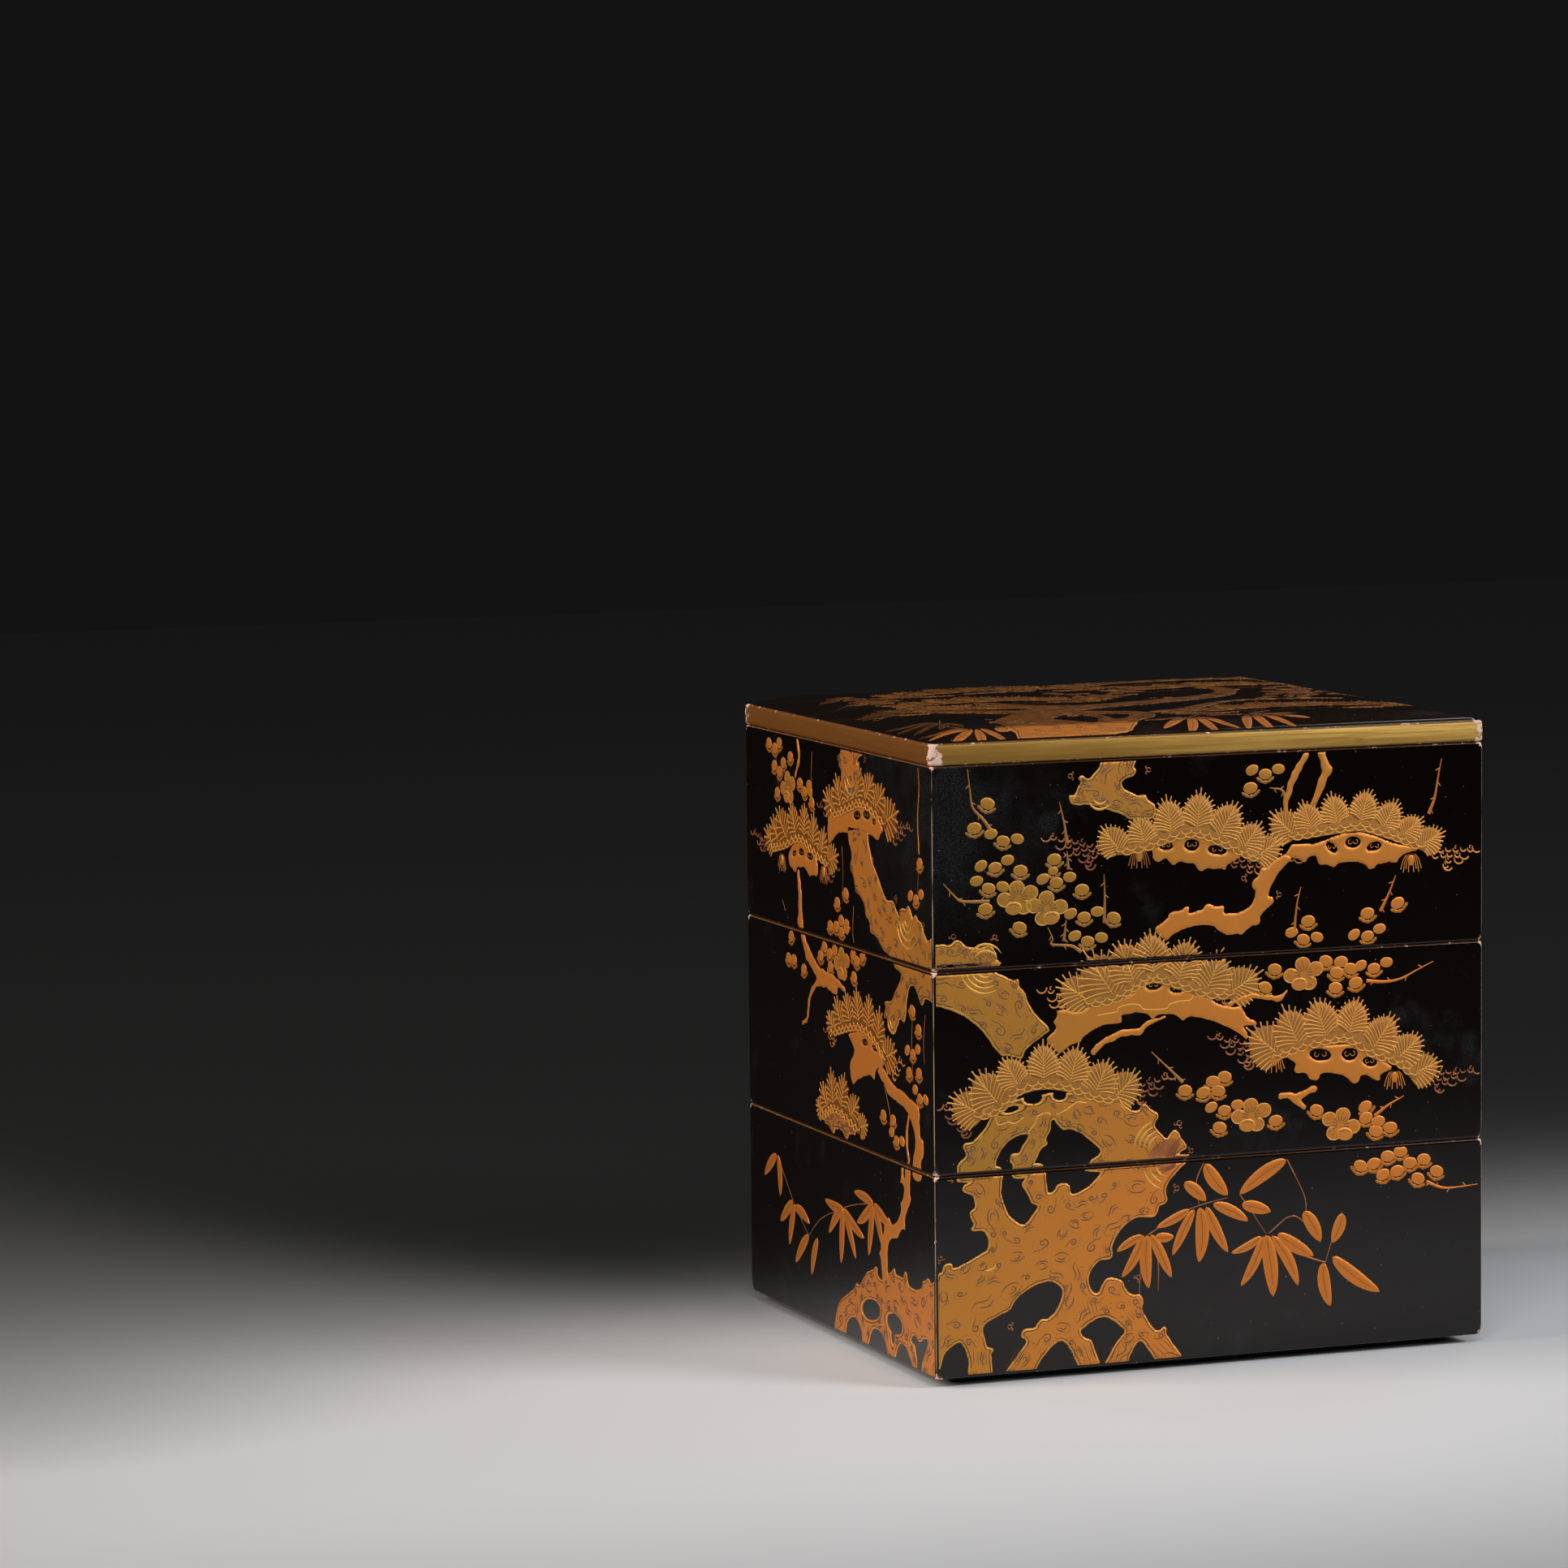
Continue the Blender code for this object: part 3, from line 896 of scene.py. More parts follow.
    def dot(self, place):
        """An engraved dot."""
        self.petal(place, (0.2, 0.2), 0, 0.03, 0, 0, LINE, lift=BARK, count=6)

    def knot(self, place, length, turn):
        """An engraved bark figure, with dots beside it: a scroll that trails off along the limb, a broken
        oval round a smaller arc, or two waves side by side."""
        turned = spin(turn)
        swing = self.rng.uniform(0, 6)
        kind = self.rng.choice(3, p=(0.5, 0.25, 0.25))
        if kind == 0:
            bow = np.radians(np.linspace(0, 470, 14))
            coil = ellipse(bow, 1.0, 0.75) * np.linspace(0.1, 0.62, 14)[:, None]
            lines = [np.vstack([coil, [(-0.62, 0.47), (-1.0, 0.33), (-1.4, 0.38)]])]
        elif kind == 1:
            arcs = ((20, 165, 1.0), (205, 300, 1.0), (40 * swing, 40 * swing + 200, 0.5))
            bows = [(np.radians(np.linspace(start, stop, 8)), share) for start, stop, share in arcs]
            lines = [ellipse(bow, 1.0, 0.6) * share for bow, share in bows]
        else:
            along = np.linspace(-1.2, 1.2, 10)
            wave = np.column_stack([along, 0.2 * np.sin(2.8 * along + swing)])
            lines = [wave + (0, 0.25), wave[3:] - (0.1, 0.3)]
        flip = (self.rng.choice((-1, 1)) * length, length)
        for line in lines:
            width = (0.07 + 0.16 * np.sin(np.linspace(0.1, 3.0, len(line)))) * self.bold
            path = np.column_stack([line * flip @ turned + place, width])
            self.stroke(path, 0.03, 0, 0, LINE, 2 * len(line), BARK)
        around = np.linspace(0, 2, 6) + swing
        for spot in ellipse(around, 1.0, 0.7) * length * 1.2 @ turned + place:
            self.dot(spot)

    def grain(self, start, stop, count, gap):
        """Dark parallel lines from start to stop, gap apart, of uneven length."""
        start, stop = np.array(start, float), np.array(stop, float)
        run = stop - start
        side = np.array([-run[1], run[0]]) / np.linalg.norm(run)
        for k in range(count):
            shift = side * (k - (count - 1) / 2) * gap
            near, far = self.rng.uniform(0, 0.25), self.rng.uniform(0.6, 1.0)
            stops = ((near, 0.5), ((near + far) / 2, 1), (far, 0.5))
            path = [(*(start + run * t + shift), 0.13 * share) for t, share in stops]
            self.stroke(path, 0.03, 0, 0, LINE, 6, BARK)

    def bark(self, limbs=(), knobs=(), holes=(), outline=None, cell=0.6, heat=None, plain=False):
        """A gold figure with one outline: limbs are chains of discs (across, up, radius) along smooth
        curves, melted together with a soft minimum of their distances; an outline is a closed curve through
        its points, added to them; knobs are added discs and holes are ellipses cut away. Heat gives the
        warmth at a place, and a plain figure has a fine rim and no engraving. The figure is a grid of cells
        whose outer points are pulled onto the outline."""
        chains = []
        for limb in limbs:
            length = np.linalg.norm(np.diff(np.array(limb)[:, :2], axis=0), axis=1).sum()
            chains.append(smooth(limb, int(length / 0.9) + 3))
        chains += [np.array([knob]) for knob in knobs]
        reached = list(chains)
        unevenness = 0.3
        if outline is not None:
            ring = np.array(outline, float)
            outline = smooth(np.vstack([ring, ring[:2]]), 3 * len(ring) + 3)[:-3]
            reached.append(np.column_stack([outline, np.zeros(len(outline))]))
            unevenness = 0.12
        everything = np.vstack(reached)
        low = (everything[:, :2] - everything[:, 2:]).min(0) - 2 * cell
        high = (everything[:, :2] + everything[:, 2:]).max(0) + 2 * cell
        u = np.arange(low[0], high[0], cell)
        v = np.arange(low[1], high[1], cell)
        across, up = np.meshgrid(u, v, indexing="ij")

        def outside(x, y):
            """Distance outside the outline; negative inside."""
            melt = 1.1
            total = 0.0
            for chain in chains:
                far = np.full(x.shape, 1e9)
                for cu, cv, radius in chain:
                    far = np.minimum(far, np.hypot(x - cu, y - cv) - radius)
                total = total + np.exp(-np.clip(far, -30, 40) / melt)
            distance = -melt * np.log(total + 1e-18)
            if outline is not None:
                distance = np.minimum(distance, polygon_distance(outline, x, y))
            for cu, cv, ru, rv, turn in holes:
                t = math.radians(turn)
                du = (x - cu) * math.cos(t) + (y - cv) * math.sin(t)
                dv = -(x - cu) * math.sin(t) + (y - cv) * math.cos(t)
                cut = (1 - np.hypot(du / ru, dv / rv)) * min(ru, rv)
                distance = np.maximum(distance, cut)
            ripple_u = np.sin(x * 0.9 + 1.3 * np.sin(y * 0.31))
            ripple_v = np.sin(y * 0.8 + 1.1 * np.sin(x * 0.37))
            return distance + unevenness * ripple_u * ripple_v

        field = outside(across, up)
        step_u, step_v = np.gradient(field, cell)
        steep = np.maximum(step_u**2 + step_v**2, 0.05)
        pull = np.where(field > -0.35 * cell, field, 0.0)
        place_u = across - np.clip(pull * step_u / steep, -1.2 * cell, 1.2 * cell)
        place_v = up - np.clip(pull * step_v / steep, -1.2 * cell, 1.2 * cell)
        inside = field < 0
        keep = inside[:-1, :-1] | inside[1:, :-1] | inside[:-1, 1:] | inside[1:, 1:]
        rim = np.maximum(-field, 0.0)
        rim[pull != 0] = 0.0
        proud = SINK + BARK * np.clip(rim / 0.8, 0, 1) ** 0.6
        index = np.arange(field.size).reshape(field.shape)
        quads = np.stack([index[:-1, :-1], index[1:, :-1], index[1:, 1:], index[:-1, 1:]], -1)[keep]
        used, faces = np.unique(quads, return_inverse=True)
        points = np.column_stack([place_u.ravel()[used], place_v.ravel()[used], proud.ravel()[used]])
        warm = heat(points[:, 0], points[:, 1]) if heat else 0.5
        edge = rim.ravel()[used]
        # A pale rim inside the outline: on engraved figures a paler outline of the gold, on plain figures a
        # faint painted highlight on the bevel
        bright = 0.35 + (0.12 if plain else 0.45) * (edge < 0.7)
        self.patch(points, [faces.reshape(-1, 4)], warm, bright, edge + NO_RIM * plain)
        if not plain:
            self.engrave(outside, low, high)
            return
        for cu, cv, ru, rv, turn in holes:
            for side in (-1, 1):
                spot = (cu + side * 0.36 * ru, cv + 0.1 * rv)
                self.hook(spot, 0.3 * min(ru, 1.4 * rv), 90 + 80 * side, 90 + 340 * side, 0.2, GOLD, 0.5)

    def engrave(self, outside, low, high):
        """Scatter knots and groups of dots over a bark figure, clear of its outline and of each other, and
        turned along the limb that they lie on."""
        spots = self.rng.uniform(low, high, (1500, 2))
        depth = -outside(spots[:, 0], spots[:, 1])
        slope_u = outside(spots[:, 0] + 0.5, spots[:, 1]) + depth
        slope_v = outside(spots[:, 0], spots[:, 1] + 0.5) + depth
        turns = np.degrees(np.arctan2(slope_v, slope_u)) + 90
        chosen = []
        for spot, deep, turn in zip(spots, depth, turns):
            size = min(self.rng.uniform(1.9, 4.3), deep * 0.95)
            if deep < 1.9 or any(np.hypot(*(spot - other)) < 1.06 * (size + room) for other, room in chosen):
                continue
            chosen.append((spot, size))
            self.knot(spot, size, turn + self.rng.uniform(-20, 20))
        for spot, deep in zip(spots[:700], depth[:700]):
            if 1.6 < deep < 3.4 and self.rng.random() < 0.6:
                for dot in spot + self.rng.normal(0, 0.9, (5, 2)):
                    self.dot(dot)

    def rings(self, place, radii, start, stop):
        """Pale growth ridges: arcs about a place."""
        for radius in radii:
            bow = np.radians(np.linspace(start, stop, 8))
            arc = np.array(place) + ellipse(bow) * radius
            taper = 0.5 * np.sin(np.linspace(0.15, math.pi - 0.15, 8))
            self.stroke(np.column_stack([arc, taper]), 0.16, 0.2, 1.0, lift=BARK - 0.02)

    def build(self, name, face, bottom, top, reach, materials):
        """The part of the picture between two heights and within reach of the middle, as one object laid on
        a face. Points beyond a limit are brought back to it and sink under the lacquer there."""
        points, paint, faces, slots, count = [], [], [], [], 0
        low, high = np.array([-reach, bottom]), np.array([reach, top])
        for place, colour, arrays, slot in self.patches:
            beyond = ((place[:, :2] < low) | (place[:, :2] > high)).any(1)
            if beyond.all():
                continue
            arrays = [array[~beyond[array].all(1)] for array in arrays]
            used = np.unique(np.concatenate([array.ravel() for array in arrays]))
            order = np.zeros(len(place), int)
            order[used] = np.arange(len(used)) + count
            place = np.column_stack([np.clip(place[:, :2], low, high), np.where(beyond, SINK, place[:, 2])])
            points.append(place[used])
            paint.append(colour[used])
            for array in arrays:
                faces += order[array].tolist()
                slots += [slot] * len(array)
            count += len(used)
        place = FACES[face](np.vstack(points)) * MM
        return mesh_object(name, place, faces, materials, slots, np.vstack(paint))


def cushion(roots, tips, warm, fans=9):
    """The fans of a pad whose roots stand on one curve and whose tips stand on another."""
    return warm, np.hstack([smooth(roots, fans), smooth(tips, fans)])


def spread(left, crest, right, reach, warm, fans=9):
    """The fans of a pad whose roots stand on a curve through three points and turn outwards to both
    ends."""
    share = np.linspace(-1.0, 1.0, 7)
    angle = np.radians(88 - 62 * share)
    length = reach * (0.8 + 0.2 * np.cos(share * math.pi / 2))
    tips = smooth([left, crest, right], 7) + length[:, None] * ellipse(angle)
    return cushion([left, crest, right], tips, warm, fans)


# Outlines of the trunk, the limbs and the bases of the pads, in millimetres across and up

# Their points were picked by eye in enlarged crops of the photo, and a script turned the crops' pixels into
# millimetres rounded to a half
TRUNK_BOTTOM = [
    (-99, 79), (-99.5, 74.5), (-102, 73.5), (-103, 71.5), (-101.5, 70), (-99, 69), (-98, 67),
    (-98, 64.5), (-100, 62.5), (-99.5, 60), (-98.5, 58), (-99.5, 56.5), (-98.5, 55.5), (-94.5, 55),
    (-92.5, 51.5), (-93, 48), (-95, 47), (-100, 44.5), (-106.5, 42), (-107, 43.5), (-108.5, 44),
    (-110.5, 43.5), (-111.5, 41), (-113, 40), (-114, 38), (-118, 37), (-118, -3), (-114, -3),
    (-112.5, 3.5), (-110, 10), (-105, 13.5), (-103, 12), (-101, 6.5), (-100.5, -3), (-91.5, -3),
    (-91.5, 8), (-90.5, 9), (-91, 10.5), (-93, 11), (-94, 14), (-94.5, 19), (-89.5, 22), (-83.5, 24.5),
    (-82, 27.5), (-77.5, 31), (-72, 33.5), (-67.5, 34), (-63.5, 32), (-62.5, 29), (-63.5, 26),
    (-65.5, 22.5), (-68.5, 20), (-71, 20), (-73, 18.5), (-74, 17), (-78.5, 16.5), (-79.5, 14),
    (-77.5, 12), (-78.5, 10), (-81, 7), (-88, -3), (-76, -3), (-72, 3.5), (-67.5, 8.5), (-63.5, 11),
    (-60.5, 9), (-57.5, 3.5), (-54.5, -1), (-46.5, -1), (-48.5, 4.5), (-50.5, 10), (-53, 11.5),
    (-55, 14), (-52, 16.5), (-48, 18.5), (-44, 18.5), (-39.5, 15.5), (-37, 12.5), (-39.5, 10),
    (-42.5, 5.5), (-45.5, -1), (-36.5, -1), (-34.5, 3.5), (-31, 8.5), (-28, 6), (-21.5, -2),
    (-10.5, -2), (-13.5, 2), (-17.5, 7.5), (-19.5, 10.5), (-19.5, 12.5), (-21, 13.5), (-22.5, 12),
    (-25, 13), (-28, 17.5), (-29.5, 21), (-29, 24), (-30.5, 26.5), (-33, 26.5), (-36, 28.5),
    (-37.5, 32), (-41, 33.5), (-44.5, 33.5), (-46.5, 31), (-47.5, 28.5), (-49.5, 28.5), (-51.5, 32.5),
    (-51, 36), (-49, 39), (-46.5, 40.5), (-42.5, 41), (-41.5, 43), (-42, 45.5), (-39.5, 50),
    (-35.5, 54), (-30.5, 56), (-25, 55.5), (-23, 57.5), (-22.5, 59.5), (-20, 60.5), (-19, 62),
    (-19.5, 65), (-18.5, 68.5), (-15, 72.5), (-10.5, 79), (-44, 79), (-45.5, 75.5), (-50, 70.5),
    (-55.5, 67.5), (-58.5, 67), (-59, 70), (-61.5, 71.5), (-64.5, 70.5), (-65.5, 69), (-68, 68),
    (-68.5, 72.5), (-70, 79), (-77, 79), (-77, 75), (-78.5, 72.5), (-78.5, 71), (-76.5, 68),
    (-75, 64.5), (-72.5, 63), (-75, 59.5), (-78, 56.5), (-83, 59.5), (-85.5, 64), (-87, 69.5),
    (-87, 79),
]
TRUNK_MIDDLE = [
    (-105, 74.5), (-105, 80), (-104, 82), (-102, 83.5), (-101.5, 85), (-102.5, 87.5), (-101.5, 89),
    (-98.5, 89.5), (-94.5, 93), (-91.5, 97.5), (-89.5, 101.5), (-79.5, 104.5), (-64.5, 106),
    (-53, 104.5), (-42.5, 103.5), (-39, 103), (-37, 100), (-34, 97.5), (-31, 97), (-29.5, 99),
    (-28, 99.5), (-26, 97.5), (-23, 95.5), (-22.5, 93.5), (-24, 91.5), (-23.5, 89.5), (-21.5, 87.5),
    (-19.5, 85.5), (-18, 87), (-16, 88.5), (-14, 87.5), (-13, 85), (-11, 82.5), (-11, 81), (-13, 80),
    (-15.5, 78), (-16.5, 74.5), (-51, 74.5), (-50.5, 79), (-49, 80), (-46.5, 82.5), (-50, 86),
    (-54.5, 89.5), (-59, 91.5), (-62, 91.5), (-64, 93.5), (-66, 95.5), (-67, 91.5), (-68.5, 88.5),
    (-68, 86.5), (-70.5, 85), (-72, 82.5), (-73.5, 79), (-74, 74.5), (-82.5, 74.5), (-82.5, 79),
    (-83.5, 80.5), (-83.5, 82.5), (-82, 84), (-80, 84), (-78.5, 86.5), (-76, 90.5), (-81, 90),
    (-84.5, 88), (-87, 85), (-89, 81), (-90, 74.5),
]
UPPER_LIMB = [
    (-119, 157.5), (-88.5, 157.5), (-88.5, 153), (-85, 151), (-81.5, 149.5), (-79.5, 149.5),
    (-79, 147), (-76.5, 144), (-76, 141.5), (-75, 139.5), (-72, 135.5), (-67, 130), (-69, 128),
    (-72, 126), (-76.5, 123), (-78, 120), (-79.5, 119.5), (-84.5, 121), (-86.5, 121), (-89, 123.5),
    (-92.5, 128.5), (-96, 132.5), (-100.5, 136), (-105, 138.5), (-110, 140.5), (-114, 141.5),
    (-119, 143),
]

STUB = [
    (-45.5, 232.5), (-46, 228.5), (-47.5, 226.5), (-50, 224), (-51.5, 224), (-52.5, 225), (-54, 225),
    (-55, 224), (-54, 222.5), (-55, 221), (-56.5, 218), (-58.5, 218), (-58.5, 216), (-57.5, 214.5),
    (-55.5, 214), (-54, 213.5), (-52.5, 214), (-48.5, 213.5), (-44, 212), (-39.5, 210.5), (-36, 209),
    (-33.5, 207.5), (-24.5, 207.5), (-23, 212), (-26.5, 215), (-27, 216.5), (-29, 217), (-30.5, 216.5),
    (-33.5, 218), (-36, 219.5), (-37, 221.5), (-35.5, 223), (-32, 224), (-31, 225.5), (-31, 226.5),
    (-32, 227.5), (-31.5, 232.5),
]
BASE_A = [
    (-26, 198.5), (-25.5, 197), (-24.5, 194.5), (-24.5, 192.5), (-22.5, 191), (-20.5, 191.5), (-19, 192),
    (-17, 190), (-15.5, 189.5), (-13.5, 190.5), (-10.5, 190), (-7.5, 189.5), (-5.5, 187), (-4, 186.5),
    (-1.5, 187.5), (1.5, 187), (4, 187), (5.5, 186.5), (6.5, 188.5), (9.5, 190), (12, 191.5), (11.5, 193.5),
    (5, 196), (-1, 199), (-6.5, 201), (-12.5, 201), (-18.5, 200), (-23, 199),
]
BASE_B = [
    (33, 195), (31.5, 192.5), (30.5, 191), (33, 190), (36, 189), (38, 188), (39, 188), (40, 189.5),
    (43, 190), (44, 188), (45, 186.5), (48, 186.5), (50, 185.5), (51.5, 185.5), (52.5, 186.5), (55, 187),
    (58.5, 187), (62, 186.5), (64, 185.5), (65.5, 184), (67, 184), (68.5, 184.5), (69, 185.5), (73, 186),
    (77.5, 186), (78, 187), (80, 188.5), (82.5, 189.5), (86, 190), (85.5, 191.5), (78, 193), (72, 195),
    (67, 197), (60.5, 198.5), (54, 198), (48.5, 196.5), (44, 195), (40, 195), (36, 195),
]
BRANCH_S = [
    (30, 191.5), (28, 190.5), (25.5, 189), (22.5, 186.5), (21, 187), (20, 186), (19, 183.5), (17, 182),
    (16.5, 180.5), (17, 179), (18, 178), (17.5, 175.5), (16, 172.5), (13.5, 171), (10, 170), (7, 170),
    (5, 170.5), (5, 172.5), (4, 173), (1.5, 173), (0, 173.5), (-1.5, 174), (-3, 173.5), (-4, 172),
    (-6.5, 171.5), (-9.5, 171), (-9.5, 173), (-11, 173.5), (-12.5, 172.5), (-14, 172), (-16, 172),
    (-18, 171), (-18.5, 169.5), (-21.5, 167.5), (-23.5, 166), (-23.5, 164.5), (-21.5, 162.5), (-19, 161),
    (-17, 162.5), (-14, 164), (-9.5, 165.5), (-4.5, 166), (0, 165.5), (2, 164), (5, 162), (6.5, 161.5),
    (10, 162), (12, 161.5), (13.5, 162.5), (14.5, 163.5), (16.5, 164.5), (19, 165), (20, 166), (20, 168),
    (21.5, 170), (23.5, 171.5), (25.5, 173), (25.5, 174.5), (25, 175.5), (23.5, 176), (24, 178.5),
    (25.5, 181), (27, 183.5), (30.5, 187), (32.5, 188.5), (33, 190),
]
BRANCH_C = [
    (-59.5, 137), (-63, 137), (-64, 136), (-64, 134.5), (-65.5, 132.5), (-64.5, 130.5), (-66.5, 128),
    (-68, 127), (-68, 125), (-64.5, 121.5), (-63, 120.5), (-60.5, 122), (-58, 123.5), (-54.5, 124.5),
    (-53.5, 126), (-49.5, 128.5), (-45.5, 130), (-41.5, 130.5), (-39, 130.5), (-37.5, 131), (-37.5, 133),
    (-37, 133.5), (-33, 134), (-29, 134), (-26.5, 133), (-24.5, 131), (-23, 132.5), (-19, 133), (-16, 132.5),
    (-13.5, 131), (-12, 130), (-10.5, 131), (-6.5, 131), (0.5, 129), (7, 126), (12, 123), (14.5, 121),
    (14.5, 123.5), (13, 126), (13, 126.5), (15.5, 126.5), (18, 126.5), (18, 128), (14.5, 130), (12, 134),
    (8.5, 134), (4.5, 135), (0, 137), (0, 138.5), (-6.5, 140), (-3, 141.5), (-4.5, 143), (-9.5, 145),
    (-18, 147), (-26.5, 147.5), (-31.5, 146), (-35.5, 144), (-40.5, 142), (-50, 141), (-50.5, 138.5),
    (-53, 136.5), (-57, 136),
]
BASE_F = [
    (30, 114.5), (30.5, 113.5), (34.5, 111), (34, 109), (34.5, 107.5), (36, 107), (38, 107), (39.5, 106),
    (40.5, 104.5), (43, 103.5), (44.5, 104.5), (45, 106), (47, 106.5), (50.5, 106), (54.5, 105),
    (56.5, 103.5), (58, 102), (60, 101.5), (61.5, 102.5), (62, 104), (63.5, 104.5), (65.5, 104), (67, 103),
    (69.5, 102), (70.5, 102.5), (70.5, 104), (72, 105), (75, 106), (75, 107.5), (70.5, 110.5), (66.5, 113.5),
    (61.5, 116), (55.5, 117), (48.5, 117), (40, 117), (33, 116),
]
LEFT_TRUNK = [
    (13.5, 201), (14, 195.5), (16.5, 192), (17.5, 189), (16, 186), (16.5, 183.5), (19, 182), (20.5, 178.5),
    (22, 175.5), (25.5, 175), (30.5, 172), (32, 168), (36, 165.5), (37, 162), (44, 160.5), (49.5, 157),
    (55, 155.5), (61, 154), (61.5, 151.5), (68, 150), (68, 148), (65, 144.5), (62, 142), (60, 139.5),
    (58, 138), (53.5, 137.5), (51, 136.5), (52, 134.5), (50.5, 131), (53.5, 130.5), (56.5, 129.5),
    (57, 126.5), (60, 126), (63, 127.5), (65.5, 130), (67, 132), (71.5, 131.5), (73.5, 134.5), (74, 137.5),
    (75, 141.5), (77.5, 145.5), (81.5, 146.5), (84, 145), (87, 142), (89.5, 140), (91.5, 141), (93.5, 143),
    (97.5, 143), (102.5, 142), (110.5, 142), (110.5, 169), (106, 168.5), (103, 168), (99.5, 166.5),
    (96, 165.5), (92, 168.5), (90, 171.5), (87, 172), (84, 174), (81.5, 172.5), (79, 175), (76.5, 176.5),
    (74, 175), (71.5, 175), (68, 174), (67.5, 171.5), (64.5, 173.5), (61, 176.5), (58.5, 176.5),
    (53.5, 176.5), (49.5, 180), (46, 183.5), (41.5, 187.5), (39.5, 189.5), (37.5, 193), (35.5, 197),
    (34, 201),
]
LEFT_STUB = [
    (7.5, 232), (5.5, 226.5), (4.5, 223), (7, 221.5), (8.5, 213.5), (25.5, 213.5), (27, 223.5),
    (24.5, 226.5), (27.5, 228.5), (31, 229.5), (31.5, 232),
]
LEFT_BASE_A = [
    (-7, 201.5), (-8.5, 197), (-8, 192.5), (-7, 191.5), (-3.5, 193), (3, 196.5), (9, 197.5), (17, 198),
    (27, 199.5), (35.5, 199.5), (41, 199), (44, 198), (46.5, 198.5), (48, 200.5), (51, 202.5), (46.5, 206),
    (35.5, 209), (21, 209), (14, 206), (4, 204), (-3, 204),
]
LEFT_BASE_B = [
    (-52.5, 181), (-51, 178.5), (-48, 177.5), (-44.5, 176.5), (-43, 178.5), (-39.5, 179), (-35.5, 179.5),
    (-32, 178.5), (-29, 176.5), (-27, 177), (-24, 177.5), (-20.5, 177.5), (-19.5, 181), (-22, 186),
    (-29.5, 189), (-38, 189.5), (-46.5, 187.5), (-51.5, 184),
]
LEFT_BASE_C = [
    (12, 119), (18.5, 114), (14, 108.5), (14, 104), (17, 100.5), (21, 102.5), (28.5, 105), (35.5, 106.5),
    (39.5, 105), (40.5, 107.5), (42.5, 110), (49.5, 112), (51.5, 114.5), (49.5, 119.5), (35.5, 122.5),
    (21, 121.5),
]
LEFT_LIMB = [
    (43, 109.5), (46, 111.5), (50, 111), (56.5, 107.5), (63.5, 105.5), (70, 105), (75, 103.5), (81.5, 102.5),
    (86, 100.5), (86.5, 94), (87, 90), (90, 89), (90, 83), (87.5, 80.5), (87.5, 73.5), (79, 73.5),
    (79.5, 80.5), (81.5, 85), (81.5, 90), (77.5, 95), (72, 98.5), (63.5, 100), (53.5, 102), (51, 105),
    (47.5, 106),
]
LEFT_LOW_LIMB = [
    (77, 78), (76, 69.5), (76, 66.5), (77, 65), (75.5, 62.5), (73, 60), (71.5, 58), (70.5, 56), (70.5, 52),
    (68, 52), (65.5, 50.5), (63.5, 48.5), (62, 47.5), (59, 47), (55.5, 46), (53, 43.5), (52, 40), (52, 35),
    (52.5, 28), (46.5, 28), (46, 31.5), (45, 35), (44.5, 37.5), (43, 38.5), (44.5, 40), (45, 42.5),
    (44.5, 46), (47, 46.5), (48.5, 48.5), (48.5, 50.5), (51.5, 52), (53, 54.5), (55.5, 53), (57.5, 52),
    (60, 53), (62.5, 54.5), (65, 57), (66.5, 59.5), (66, 62), (68, 63), (69.5, 66), (70, 68), (68, 69.5),
    (66, 69.5), (67, 73), (67, 78), (69.5, 78), (69.5, 73), (70.5, 72), (71, 73), (71.5, 78),
]
LEFT_ROOTS = [
    (-7.5, -3), (-4.5, 6.5), (0, 12.5), (7.5, 16.5), (16, 20.5), (18, 23), (22, 23), (27, 27), (30.5, 29.5),
    (36.5, 31.5), (39, 33), (41, 32.5), (41.5, 30), (44, 29), (47, 29), (50.5, 30), (53, 32.5), (55.5, 33.5),
    (58.5, 35.5), (60, 35), (61, 33.5), (65, 33.5), (68, 33.5), (69.5, 36), (71.5, 36), (73, 33.5),
    (74.5, 31.5), (80, 31), (85, 32), (87.5, 33.5), (88.5, 36), (90, 36), (93.5, 37.5), (95.5, 37), (97, 36),
    (99.5, 37), (107.5, 39), (107.5, -3), (86.5, -3), (87, 4), (89, 7), (91.5, 10), (93, 13.5), (88.5, 13.5),
    (86.5, 12), (84, 11.5), (82, 12.5), (78.5, 13), (76, 10.5), (79.5, 9.5), (81, 6.5), (82, 3), (81.5, -3),
    (77.5, -3), (76.5, 1.5), (73, 4.5), (70.5, 7), (65.5, 7.5), (62.5, 5.5), (60, 2), (58, -3), (51.5, -3),
    (51, 0), (49.5, 4), (46.5, 7), (42, 8.5), (38, 8.5), (34.5, 6.5), (31.5, 2), (30.5, -3), (25.5, -3),
    (23.5, 4), (21, 7), (17, 9), (12, 8), (7.5, 4.5), (5, -3),
]

# Plans of the five faces: where every motif stands, in millimetres across and up

